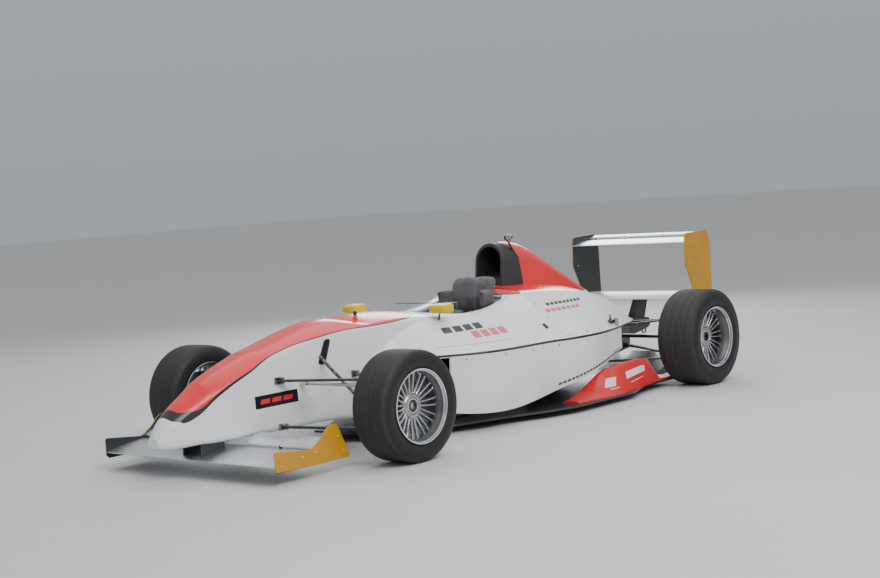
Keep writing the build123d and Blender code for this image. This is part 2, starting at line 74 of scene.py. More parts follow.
class Shade:
    """Builds one procedural material around a principled shader."""

    def __init__(self, name, **sockets):
        self.material = bpy.data.materials.new(name)
        self.material.use_nodes = True
        self.tree = self.material.node_tree
        self.shader = self.tree.nodes["Principled BSDF"]
        self.coordinates = self.tree.nodes.new("ShaderNodeTexCoord")
        self.place = self.coordinates.outputs["Object"]
        for socket, value in sockets.items():
            self.shader.inputs[socket.replace("_", " ")].default_value = value

    def put(self, kind, *inputs, out=0, **settings):
        """Adds a node, feeds its first inputs and gives one output."""
        node = self.tree.nodes.new("ShaderNode" + kind)
        for key, value in settings.items():
            setattr(node, key, value)
        for socket, value in zip(node.inputs, inputs):
            self.feed(socket, value)
        return node.outputs[out]

    def feed(self, socket, value):
        """Links or sets one socket."""
        if value is None:
            return
        if isinstance(value, bpy.types.NodeSocket):
            self.tree.links.new(value, socket)
        else:
            socket.default_value = value

    def math(self, kind, *inputs):
        """Math node."""
        return self.put("Math", *inputs, operation=kind)

    def times(self, first, second):
        """Product."""
        return self.math("MULTIPLY", first, second)

    def plus(self, first, second):
        """Sum."""
        return self.math("ADD", first, second)

    def minus(self, first, second):
        """Difference."""
        return self.math("SUBTRACT", first, second)

    def size_of(self, value):
        """Value without its sign."""
        return self.math("ABSOLUTE", value)

    def from_axle(self, x, z):
        """Distance from the y axis."""
        return self.math("SQRT", self.plus(self.times(x, x), self.times(z, z)))

    def axes(self, source=None):
        """The three coordinates of a point."""
        node = self.tree.nodes.new("ShaderNodeSeparateXYZ")
        self.tree.links.new(source or self.place, node.inputs[0])
        return node.outputs[0], node.outputs[1], node.outputs[2]

    def vector(self, x, y, z):
        """A vector from three values."""
        return self.put("CombineXYZ", x, y, z)

    def stretched(self, scale, source=None):
        """Coordinates scaled along each axis."""
        return self.put("VectorMath", source or self.place, scale, operation="MULTIPLY")

    def noise(self, scale, detail=3.0, source=None, rough=0.5):
        """Noise from 0 to 1."""
        node = self.tree.nodes.new("ShaderNodeTexNoise")
        self.tree.links.new(source or self.place, node.inputs["Vector"])
        node.inputs["Scale"].default_value = scale
        node.inputs["Detail"].default_value = detail
        node.inputs["Roughness"].default_value = rough
        return node.outputs["Fac"]

    def step(self, value, low, high, start=0.0, end=1.0):
        """Maps low to high onto start to end, held at both ends."""
        return self.put("MapRange", value, low, high, start, end)

    def mix(self, amount, first, second):
        """Colour mix."""
        node = self.tree.nodes.new("ShaderNodeMix")
        node.data_type = "RGBA"
        self.feed(node.inputs["Factor"], amount)
        self.feed(node.inputs["A"], rgba(first))
        self.feed(node.inputs["B"], rgba(second))
        return node.outputs["Result"]

    def color(self, value):
        """Base colour."""
        self.feed(self.shader.inputs["Base Color"], rgba(value))

    def rough(self, source, low, high):
        """Roughness between two values."""
        self.feed(self.shader.inputs["Roughness"], self.step(source, 0.0, 1.0, low, high))

    def bump(self, height, distance, strength=1.0):
        """Surface relief, its height in metres times distance; later calls add to it."""
        node = self.tree.nodes.new("ShaderNodeBump")
        node.inputs["Strength"].default_value = strength
        node.inputs["Distance"].default_value = distance
        self.feed(node.inputs["Height"], height)
        before = self.shader.inputs["Normal"].links
        if before:
            self.tree.links.new(before[0].from_socket, node.inputs["Normal"])
        self.tree.links.new(node.outputs[0], self.shader.inputs["Normal"])

    def curve(self, value, points):
        """Smooth line through points that lie between 0 and 1 both ways."""
        node = self.tree.nodes.new("ShaderNodeFloatCurve")
        line = node.mapping.curves[0]
        while len(line.points) < len(points):
            line.points.new(0.5, 0.5)
        for point, place in zip(line.points, points):
            point.location = place
            point.handle_type = "AUTO"
        node.mapping.update()
        self.feed(node.inputs["Value"], value)
        return node.outputs[0]


def rgba(value):
    """Three numbers as a colour, anything else as it is."""
    return (*value, 1.0) if isinstance(value, (tuple, list)) and len(value) == 3 else value


# Livery
WHITE = (0.83, 0.85, 0.87)
RED = (0.78, 0.035, 0.04)
BLACK = (0.012, 0.013, 0.016)
YELLOW = (0.52, 0.25, 0.0)

# Lower edge of the red on the nose: station, height
RED_LINE = (
    (-900, 660), (-650, 628), (-350, 606), (-200, 603), (0, 581), (100, 568), (200, 547), (300, 519),
    (400, 474), (500, 435), (600, 388), (700, 329), (750, 312), (850, 262), (900, 240),
)
RED_FRONT = 806
PINSTRIPE = 0.0045
NOSE_BAND = 0.018
NOSE_BAND_TIP = 0.012
FRONT_SPREAD = 1300.0
FRONT_ROUND = 0.06
FRONT_POWER = 4.0
FRONT_BLEND = 0.03
FRONT_SLANT = 0.75
CORNER_BLEND = 0.05
COCKPIT_START = -600

# Edge of the red on the engine cover: station, half width
COVER_RED = ((-2500, 0), (-2420, 60), (-2310, 150), (-2110, 225), (-1880, 258), (-1690, 268), (-1500, 272))
COVER_STRIPE = (0.62, 0.1, 0.11)
NOSE_STRIPE = (0.03, 0.032, 0.038)

# Line between the cover and the pods: station and height of its start, slope, rear end, half width in metres
TUB_END = -1500
SHUT_HEIGHT = 402
SHUT_SLOPE = 0.0173
SHUT_BACK = -3285
SHUT_LINE_HALF = 0.0065
PAINT_EDGE = 0.001
DUST = (0.18, 0.16, 0.14)

# Blank panels on the paint: station, height, half length, half height, tilt in degrees, lean, gaps, colour
INK = (0.05, 0.045, 0.06)
GREY_INK = (0.42, 0.43, 0.45)
FADED_RED = (0.72, 0.16, 0.2)
NOSE_PANELS = ((262, 315, 0.131, 0.032, -1, 0.0, 0, BLACK), (262, 315, 0.104, 0.012, -1, 0.4, 3, RED))
FLANK_INNER_Y = 0.31
FLANK_PANELS = (
    (-874, 535, 0.155, 0.015, 0, 0.5, 4, INK), (-1014, 498, 0.143, 0.017, 0, 0.5, 4, FADED_RED),
    (-850, 457, 0.235, 0.0028, 1, 0.5, 0, GREY_INK), (-1803, 582, 0.2, 0.008, 1, 0.5, 9, INK),
    (-1738, 551, 0.19, 0.009, 1, 0.5, 7, FADED_RED),
)
POD_PANELS = ((-1800, 216, 0.385, 0.0075, -8.1, 0.5, 22, INK),)
LABEL_INNER_Y = 0.564
FAIRING_RED = (0.74, 0.012, 0.018)
FAIRING_PANELS = (
    (-1847, 116, 0.045, 0.022, 0, 1.5, 0, WHITE), (-2150, 137, 0.125, 0.017, -3, 1.1, 0, WHITE),
    (-2120, 96, 0.09, 0.0022, -3, 0.5, 0, WHITE), (-1840, 84, 0.045, 0.0022, 0, 0.5, 0, WHITE),
)


def shut_line(x):
    """Height of the line between the cover and the pods."""
    return SHUT_HEIGHT + SHUT_SLOPE * (x - TUB_END)


def along(shade, table, value):
    """A line from a table of (station, size), read at a model x."""
    low, high = station(table[0][0]), station(table[-1][0])
    sizes = [size / 1000 for _, size in table]
    least, most = min(sizes), max(sizes)
    share = shade.step(value, low, high)
    points = [((station(s) - low) / (high - low), (v / 1000 - least) / (most - least)) for s, v in table]
    return shade.step(shade.curve(share, points), 0.0, 1.0, least, most)


def panel_mask(shade, x, z, panel):
    """1 inside a slanted panel on the car's side."""
    at, height, half_long, half_high, tilt, lean, gaps, _ = panel
    turn = math.radians(tilt)
    dx = shade.minus(x, station(at))
    dz = shade.minus(z, height / 1000)
    u = shade.plus(shade.times(dx, math.cos(turn)), shade.times(dz, math.sin(turn)))
    v = shade.minus(shade.times(dz, math.cos(turn)),
                   shade.times(dx, math.sin(turn)))
    u = shade.plus(u, shade.times(v, lean))
    inside_u = shade.step(shade.size_of(u), half_long, half_long - 0.0015)
    inside_v = shade.step(shade.size_of(v), half_high, half_high - 0.0015)
    if gaps:
        pitch = 2 * half_long / gaps
        wave = shade.math("PINGPONG", shade.plus(u, half_long), pitch / 2)
        inside_u = shade.times(inside_u, shade.step(wave, pitch * 0.08, pitch * 0.12))
    return shade.times(inside_u, inside_v)


def paint(name, livery):
    """Glossy car paint with faint waviness, road dust low down and its livery."""
    shade = Shade(name, Roughness=0.28, Coat_Weight=0.22, Coat_Roughness=0.18, Specular_IOR_Level=0.3)
    x, y, z = shade.axes()
    color, marks = livery(shade, x, y, z)
    cloud = shade.noise(3.5, 4.0)
    specks = shade.noise(260.0, 2.0)
    low = shade.step(z, 0.34, 0.06)
    dust = shade.times(low, shade.step(cloud, 0.35, 0.75))
    dust = shade.times(dust, shade.step(specks, 0.3, 0.7, 0.25, 0.55))
    tone = shade.step(cloud, 0.3, 0.7, 0.94, 1.0)
    shaded = shade.put("MixRGB", 1.0, color, tone, blend_type="MULTIPLY")
    shade.color(shade.mix(dust, shaded, DUST))
    shade.rough(shade.plus(dust, shade.times(cloud, 0.25)), 0.2, 0.55)
    shade.bump(shade.noise(420.0, 2.0), 0.0003, 0.12)
    shade.bump(shade.noise(9.0, 2.0), 0.002, 0.12)
    if marks is not None:
        shade.bump(marks, 0.0012, 0.6)
    return shade.material


def with_panels(shade, color, x, z, panels):
    """Paints blank panels over a colour."""
    for panel in panels:
        color = shade.mix(panel_mask(shade, x, z, panel), color, panel[-1])
    return color


def nose_livery(shade, x, y, z):
    """Red top with a rounded front end, edged by a pinstripe, over white sides."""
    line = along(shade, RED_LINE, x)
    above = shade.minus(z, line)
    spread = shade.times(shade.math("POWER", shade.size_of(y), FRONT_POWER), FRONT_SPREAD)
    spread = shade.math("SMOOTH_MIN", spread, FRONT_ROUND, FRONT_BLEND)
    ahead = shade.minus(shade.minus(station(RED_FRONT), x), spread)
    edge = shade.math("SMOOTH_MIN", above, shade.times(ahead, FRONT_SLANT), CORNER_BLEND)
    band = shade.plus(shade.step(ahead, 0.1, 0.5, NOSE_BAND, PINSTRIPE),
                      shade.step(ahead, 0.0, 0.1, NOSE_BAND_TIP, 0.0))
    color = shade.mix(shade.step(shade.plus(edge, band), 0.0, PAINT_EDGE), WHITE, NOSE_STRIPE)
    color = shade.mix(shade.step(edge, 0.0, PAINT_EDGE), color, RED)
    labelled = with_panels(shade, color, x, z, NOSE_PANELS + FLANK_PANELS)
    inner_wall = shade.times(shade.step(shade.size_of(y), FLANK_INNER_Y, FLANK_INNER_Y - 2 * PAINT_EDGE),
                             shade.step(x, station(COCKPIT_START), station(COCKPIT_START - 2)))
    return shade.mix(inner_wall, labelled, color), None


def shut_gap_shade_mask(shade, x, z):
    """1 on the shut line between the cover and the pod, where the gap's shade is painted black."""
    line = shade.step(x, station(SHUT_BACK), station(0), shut_line(SHUT_BACK) / 1000, shut_line(0) / 1000)
    return shade.step(shade.size_of(shade.minus(z, line)), SHUT_LINE_HALF, SHUT_LINE_HALF - PAINT_EDGE)


def with_shut_groove_and_shade(shade, color, x, z):
    """Paints the shut line's gap black over a colour as painted shade, and cuts the line into the surface."""
    shut = shut_gap_shade_mask(shade, x, z)
    # BLACK on the shut line is painted shade of the gap between the cover and the pod; the groove is real
    # relief
    return shade.mix(shut, color, BLACK), shade.minus(1.0, shut)


def cover_livery(shade, x, y, z):
    """White flanks and a red top deck and hump."""
    inside = shade.minus(along(shade, COVER_RED, x), shade.size_of(y))
    color = shade.mix(shade.step(shade.plus(inside, PINSTRIPE), 0.0, PAINT_EDGE), WHITE, COVER_STRIPE)
    color = shade.mix(shade.step(inside, 0.0, PAINT_EDGE), color, RED)
    return with_shut_groove_and_shade(shade, with_panels(shade, color, x, z, FLANK_PANELS), x, z)


def pod_livery(shade, x, y, z):
    """White pod under the shut line with a fine stripe along its tail."""
    return with_shut_groove_and_shade(shade, with_panels(shade, rgba(WHITE), x, z, POD_PANELS + FLANK_PANELS), x, z)


def fairing_livery(shade, x, y, z):
    """Red with blank white labels on its outer slope."""
    red = rgba(FAIRING_RED)
    outer = shade.step(shade.size_of(y), LABEL_INNER_Y - 2 * PAINT_EDGE, LABEL_INNER_Y)
    return shade.mix(outer, red, with_panels(shade, red, x, z, FAIRING_PANELS)), None


def plain_livery(value):
    """One paint colour all over."""
    return lambda shade, x, y, z: (shade.mix(0.0, value, value), None)


def plate_paint(name):
    """Wing endplate: yellow outside, dark inside, scuffed along its lower edge."""
    shade = Shade(name, Coat_Weight=0.35, Coat_Roughness=0.2)
    x, y, z = shade.axes()
    geometry = shade.tree.nodes.new("ShaderNodeNewGeometry")
    _, normal_y, _ = shade.axes(geometry.outputs["Normal"])
    inner = shade.step(shade.times(normal_y, shade.math("SIGN", y)), -0.45, -0.55)
    cloud = shade.noise(6.0, 5.0)
    yellow = shade.mix(shade.step(cloud, 0.35, 0.7), YELLOW, (0.58, 0.28, 0.001))
    scuff = shade.times(shade.step(z, 0.075, 0.06, 0.0, 0.6), shade.step(shade.noise(90.0, 4.0), 0.5, 0.65))
    yellow = shade.mix(scuff, yellow, (0.2, 0.15, 0.08))
    shade.color(shade.mix(inner, yellow, (0.014, 0.016, 0.018)))
    shade.rough(shade.noise(14.0, 4.0), 0.25, 0.5)
    shade.bump(shade.noise(300.0, 2.0), 0.0003, 0.15)
    return shade.material


def alloy(name, color, rough=(0.2, 0.42), grain=(1.0, 0.02, 1.0), scale=500.0, tone=0.12):
    """Brushed or machined light metal, its grain drawn out along one axis."""
    shade = Shade(name, Metallic=1.0)
    grain_noise = shade.noise(scale, 3.0, shade.stretched(grain))
    cloud = shade.noise(7.0, 4.0)
    dark = tuple(c * (1 - tone) for c in color)
    shade.color(shade.mix(shade.step(shade.plus(shade.times(grain_noise, 0.5),
                                                shade.times(cloud, 0.5)), 0.35, 0.65), dark, color))
    shade.rough(shade.plus(shade.times(grain_noise, 0.6), shade.times(cloud, 0.4)),
                *rough)
    shade.bump(grain_noise, 0.0004, 0.25)
    return shade.material


def cast_metal(name, color, rough=(0.45, 0.7)):
    """Sand cast light metal with a fine pebbled skin and oily patches."""
    shade = Shade(name, Metallic=0.85)
    grain, cloud = shade.noise(450.0, 3.0), shade.noise(11.0, 5.0)
    shade.color(shade.mix(shade.step(cloud, 0.35, 0.7), tuple(c * 0.55 for c in color), color))
    shade.rough(cloud, *rough)
    shade.bump(grain, 0.0008, 0.5)
    return shade.material


def black_steel(name, color=(0.03, 0.031, 0.034)):
    """Satin black coated steel, rubbed brighter on its edges."""
    shade = Shade(name, Metallic=0.3, Coat_Weight=0.15, Coat_Roughness=0.3)
    geometry = shade.tree.nodes.new("ShaderNodeNewGeometry")
    worn = shade.times(shade.step(geometry.outputs["Pointiness"], 0.56, 0.64),
                      shade.step(shade.noise(50.0, 4.0), 0.4, 0.6))
    shade.color(shade.mix(worn, color, (0.22, 0.21, 0.2)))
    shade.rough(shade.noise(40.0, 4.0), 0.32, 0.55)
    shade.bump(shade.noise(700.0, 2.0), 0.0003, 0.25)
    return shade.material


def carbon(name, axis_u=0, axis_v=1, gloss=0.35):
    """Woven carbon cloth under resin: a two by two twill of 3 mm tows."""
    shade = Shade(name, Coat_Weight=0.55, Coat_Roughness=0.12)
    parts = shade.axes()
    tow = 330.0
    u, v = shade.times(parts[axis_u], tow), shade.times(parts[axis_v], tow)
    column, row = shade.math("FLOOR", u), shade.math("FLOOR", v)
    order = shade.math("FLOORED_MODULO", shade.plus(column, row), 4.0)
    warp = shade.step(order, 1.4, 1.6)
    across_u = shade.math("PINGPONG", u, 0.5)
    across_v = shade.math("PINGPONG", v, 0.5)
    ridge = shade.plus(shade.times(across_u, warp),
                       shade.times(across_v, shade.minus(1.0, warp)))
    shade.color(shade.mix(warp, (0.011, 0.012, 0.014), (0.035, 0.037, 0.042)))
    shade.rough(shade.plus(shade.times(warp, 0.4), shade.times(ridge, 0.6)),
                gloss - 0.08, gloss + 0.25)
    shade.bump(ridge, 0.0006, 0.35)
    return shade.material


def rubber(name):
    """Slick tyre: scrubbed tread with marbled wear, darker shaped sidewall."""
    shade = Shade(name, Specular_IOR_Level=0.35)
    x, y, z = shade.axes()
    radius = shade.from_axle(x, z)
    angle = shade.math("ARCTAN2", x, z)
    turned = shade.vector(shade.times(angle, 0.27), y, radius)
    tread = shade.step(radius, 0.246, 0.262)
    streaks = shade.noise(60.0, 5.0, shade.stretched((0.06, 1.0, 1.0), turned))
    crumbs = shade.noise(900.0, 3.0)
    side = shade.mix(shade.noise(30.0, 4.0), (0.009, 0.009, 0.01), (0.02, 0.02, 0.021))
    top = shade.mix(shade.step(streaks, 0.3, 0.7), (0.02, 0.021, 0.023), (0.04, 0.041, 0.043))
    shade.color(shade.mix(tread, side, top))
    shade.rough(shade.plus(shade.times(tread, 0.45), shade.times(streaks, 0.4)),
                0.42, 0.8)
    shade.bump(crumbs, 0.0006, 0.35)
    shade.bump(streaks, 0.0012, 0.3)
    rings = shade.math("SINE", shade.times(radius, 2200.0))
    shade.bump(shade.times(rings, shade.step(radius, 0.235, 0.215)), 0.0002, 0.3)
    return shade.material


def wheel_metal(name, color, rough):
    """Silver wheel, turned round its axle, with brake dust towards the hub."""
    shade = Shade(name, Metallic=0.9, Coat_Weight=0.3, Coat_Roughness=0.15)
    x, y, z = shade.axes()
    radius = shade.from_axle(x, z)
    turning = shade.math("SINE", shade.times(radius, 9000.0))
    dust = shade.times(shade.step(radius, 0.17, 0.05, 0.0, 0.5), shade.noise(45.0, 5.0))
    shade.color(shade.mix(dust, color, (0.09, 0.085, 0.08)))
    shade.rough(shade.plus(dust, shade.times(shade.noise(90.0, 3.0), 0.5)), *rough)
    shade.bump(turning, 0.00015, 0.15)
    return shade.material


def disc_iron(name):
    """Brake disc: fine circular scoring."""
    shade = Shade(name, Metallic=1.0)
    x, y, z = shade.axes()
    radius = shade.from_axle(x, z)
    scoring = shade.noise(1.0, 4.0, shade.vector(shade.times(radius, 2600.0), 0.0, 0.0))
    shade.color(shade.mix(scoring, (0.14, 0.14, 0.15), (0.34, 0.33, 0.32)))
    shade.rough(scoring, 0.3, 0.5)
    shade.bump(scoring, 0.0004, 0.4)
    return shade.material


def fabric(name, color, thread=520.0, other=None):
    """Woven cloth or webbing: over and under threads, with slight fading."""
    shade = Shade(name, Roughness=0.85, Sheen_Weight=0.3, Sheen_Roughness=0.5)
    x, y, z = shade.axes()
    over = shade.times(shade.math("SINE", shade.times(shade.plus(x, z), thread * 2.2)),
                      shade.math("SINE", shade.times(shade.minus(y, z), thread * 2.2)))
    weave = shade.step(over, -1.0, 1.0)
    fade = shade.noise(12.0, 4.0)
    pale = other or tuple(min(1.0, c * 1.7 + 0.01) for c in color)
    shade.color(shade.mix(shade.times(shade.plus(weave, fade), 0.5), color, pale))
    shade.bump(weave, 0.0008, 0.6)
    return shade.material


def moulded(name, color, rough=(0.3, 0.5), grain=0.25, coat=0.0):
    """Moulded plastic with a fine leathered skin."""
    shade = Shade(name, Coat_Weight=coat, Coat_Roughness=0.1)
    grain_noise, cloud = shade.noise(800.0, 2.0), shade.noise(18.0, 4.0)
    shade.color(shade.mix(cloud, tuple(c * 0.8 for c in color), color))
    shade.rough(cloud, *rough)
    shade.bump(grain_noise, 0.0004, grain)
    return shade.material


def heat_steel(name):
    """Exhaust steel, straw to blue tinted along its length."""
    shade = Shade(name, Metallic=1.0)
    x, y, z = shade.axes()
    heat = shade.plus(shade.step(x, corner("exhaust", 0, True), corner("exhaust", 0, False)),
                      shade.times(shade.noise(14.0, 4.0), 0.3))
    straw = shade.mix(shade.step(heat, 0.2, 0.6), (0.42, 0.4, 0.38), (0.38, 0.25, 0.13))
    shade.color(shade.mix(shade.step(heat, 0.6, 1.1), straw, (0.12, 0.13, 0.2)))
    shade.rough(shade.noise(80.0, 4.0), 0.25, 0.5)
    shade.bump(shade.noise(500.0, 2.0), 0.0003, 0.3)
    return shade.material


def radiator_core(name):
    """Radiator face: rows of flat tubes with folded fins between."""
    shade = Shade(name, Metallic=0.6)
    x, y, z = shade.axes()
    rows = shade.math("SINE", shade.times(z, 700.0))
    fins = shade.math("SINE", shade.times(shade.plus(y, x), 2600.0))
    tubes = shade.step(rows, 0.3, 0.7)
    shade.color(shade.mix(tubes, (0.03, 0.031, 0.034), (0.22, 0.22, 0.23)))
    shade.rough(shade.noise(30.0), 0.35, 0.65)
    shade.bump(shade.plus(rows, shade.times(fins, 0.4)), 0.0015, 0.5)
    return shade.material


def clear_screen(name, tint=(0.86, 0.92, 0.95), rough=0.03):
    """Thin polycarbonate, faintly hazed and scratched."""
    shade = Shade(name, Transmission_Weight=1.0, IOR=1.2, Roughness=rough, Specular_IOR_Level=0.6)
    haze = shade.noise(35.0, 5.0, shade.stretched((0.2, 1.0, 1.0)))
    shade.color(shade.mix(haze, tint, tuple(c * 0.93 for c in tint)))
    shade.rough(haze, rough, rough + 0.1)
    return shade.material


def mirror_glass(name):
    """Silvered glass with faint smears."""
    shade = Shade(name, Metallic=1.0)
    smear = shade.noise(40.0, 4.0)
    shade.color(shade.mix(smear, (0.8, 0.83, 0.86), (0.88, 0.9, 0.92)))
    shade.rough(smear, 0.01, 0.08)
    return shade.material


def lamp_red(name):
    """Red prismatic lamp lens."""
    shade = Shade(name, Transmission_Weight=0.4, Coat_Weight=1.0, Roughness=0.12)
    x, y, z = shade.axes()
    cells = shade.times(shade.math("SINE", shade.times(y, 900.0)),
                       shade.math("SINE", shade.times(z, 900.0)))
    shade.color(shade.mix(shade.step(cells, -0.6, 0.6), (0.35, 0.0, 0.004), (0.7, 0.015, 0.02)))
    shade.bump(cells, 0.0012, 0.6)
    return shade.material


MATERIALS = {
    "nose": paint("paint_nose", nose_livery),
    "cover": paint("paint_cover", cover_livery),
    "pod": paint("paint_pod", pod_livery),
    "fairing": paint("paint_fairing", fairing_livery),
    "red": paint("paint_red", plain_livery(RED)),
    "plate": plate_paint("paint_endplate"),
    "wing": alloy("wing_sheet", (0.78, 0.8, 0.83), (0.24, 0.42)),
    "alloy": alloy("machined_alloy", (0.56, 0.57, 0.59), (0.25, 0.5), (1.0, 1.0, 0.05)),
    "bright": alloy("bright_steel", (0.62, 0.62, 0.63), (0.15, 0.35), (0.1, 1.0, 1.0)),
    "cast": cast_metal("cast_case", (0.2, 0.205, 0.21)),
    "arm": black_steel("coated_steel"),
    "carbon": carbon("carbon_flat"),
    "carbon_side": carbon("carbon_side", 0, 2),
    "carbon_front": carbon("carbon_front", 1, 2),
    "tyre": rubber("tyre_rubber"),
    "rim": wheel_metal("rim_silver", (0.5, 0.51, 0.53), (0.2, 0.42)),
    "lip": wheel_metal("rim_lip", (0.82, 0.83, 0.85), (0.1, 0.3)),
    "disc": disc_iron("disc_iron"),
    "pad": fabric("padded_cloth", (0.05, 0.052, 0.056)),
    "webbing": fabric("harness_webbing", (0.35, 0.02, 0.02), 700.0),
    "suede": fabric("grip_suede", (0.018, 0.018, 0.019), 900.0),
    "black": moulded("moulded_black", (0.02, 0.02, 0.022)),
    "gloss_black": moulded("gloss_black", (0.01, 0.01, 0.012), (0.1, 0.2), 0.05, 0.8),
    "mirror": moulded("mirror_yellow", (0.78, 0.52, 0.0), (0.3, 0.45), 0.06, 0.1),
    "glass": mirror_glass("mirror_glass"),
    "screen": clear_screen("clear_screen"),
    "exhaust": heat_steel("heat_steel"),
    "core": radiator_core("radiator_core"),
    "lamp": lamp_red("lamp_lens"),
    # the barrel is the rim's own metal; its darker silver is painted shade inside the rim
    "barrel": wheel_metal("rim_barrel_painted_shade", (0.17, 0.172, 0.18), (0.35, 0.6)),
    "stitch": fabric("pad_thread", (0.16, 0.16, 0.17), 1500.0),
    "seat_cloth": fabric("seat_cloth", (0.03, 0.031, 0.034), 600.0),
    "grip": fabric("grip_suede", (0.02, 0.02, 0.022), 900.0),
    "display": moulded("display_glass", (0.02, 0.03, 0.03), (0.05, 0.12), 0.03, 0.8),
    "red_knob": moulded("knob_red", (0.6, 0.02, 0.02), (0.25, 0.4), 0.1, 0.4),
    "green_knob": moulded("knob_green", (0.03, 0.35, 0.08), (0.25, 0.4), 0.1, 0.4),
    "blue_knob": moulded("knob_blue", (0.03, 0.1, 0.45), (0.25, 0.4), 0.1, 0.4),
    "mark": moulded("dial_white", (0.75, 0.76, 0.76), (0.4, 0.6)),
    "tan": moulded("fitting_tan", (0.42, 0.36, 0.27), (0.4, 0.6)),
    "boot": moulded("boot_rubber", (0.02, 0.02, 0.021), (0.6, 0.8), 0.4),
    "spring": moulded("spring_red", (0.5, 0.03, 0.03), (0.3, 0.45), 0.1, 0.4),
    "collar": moulded("collar_black", (0.035, 0.037, 0.04), (0.45, 0.65), 0.3),
    # near black finish that stands in for the shade inside openings: pod ducts, the intake's throat, push rod
    # slots
    "void": moulded("opening_shade_paint", (0.006, 0.006, 0.007), (0.7, 0.9), 0.3),
    "beam": paint("paint_beam", plain_livery((0.86, 0.85, 0.8))),
}

# The frame's own nodes and their finish
FINISH = {
    "nose_cone": "nose", "monocoque": "nose", "side_pod_left": "pod", "side_pod_right": "pod",
    "engine_cover": "cover", "air_intake": "black", "hoop_camera": "gloss_black", "front_wing": "wing",
    "front_endplates": "plate", "rear_planes": "wing", "rear_endplates": "plate", "floor": "carbon",
    "floor_fairings": "fairing", "engine": "cast", "gearbox": "cast", "crash_structure": "black",
    "wing_pillars": "black", "exhaust": "exhaust", "radiators": "core", "seat": "carbon_front",
    "headrest": "pad", "dashboard": "carbon_front", "windscreen": "screen", "mirrors": "mirror",
    "front_arms": "arm", "push_rods": "arm", "rear_arms": "arm", "rear_uprights": "alloy",
    "steering_wheel": "suede", "steering_rack": "bright", "knuckle_left": "alloy", "knuckle_right": "alloy",
    "track_rod_left": "bright", "track_rod_right": "bright",
}
for end in ("front", "rear"):
    for side in ("left", "right"):
        for part, finish in (("tyre", "tyre"), ("rim", "rim"), ("hub", "disc")):
            FINISH[f"{part}_{end}_{side}"] = finish

for node, finish in FINISH.items():
    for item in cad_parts[node].material_slots:
        item.material = MATERIALS[finish]


def circle(centre, across, other, count):
    """Points of an oval about a centre, its two radii given as vectors."""
    angles = [math.tau * k / count for k in range(count)]
    return [centre + across * math.cos(a) + other * math.sin(a) for a in angles]


def linked(name, data):
    """New object of the scene over its data."""
    thing = bpy.data.objects.new(name, data)
    bpy.context.scene.collection.objects.link(thing)
    return thing


def frame_nodes(*names):
    """The frame's own objects of these names."""
    return [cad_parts[name] for name in names]


def square_to(axis):
    """Two unit vectors at right angles to an axis and to each other."""
    across = axis.orthogonal().normalized()
    return across, axis.cross(across)


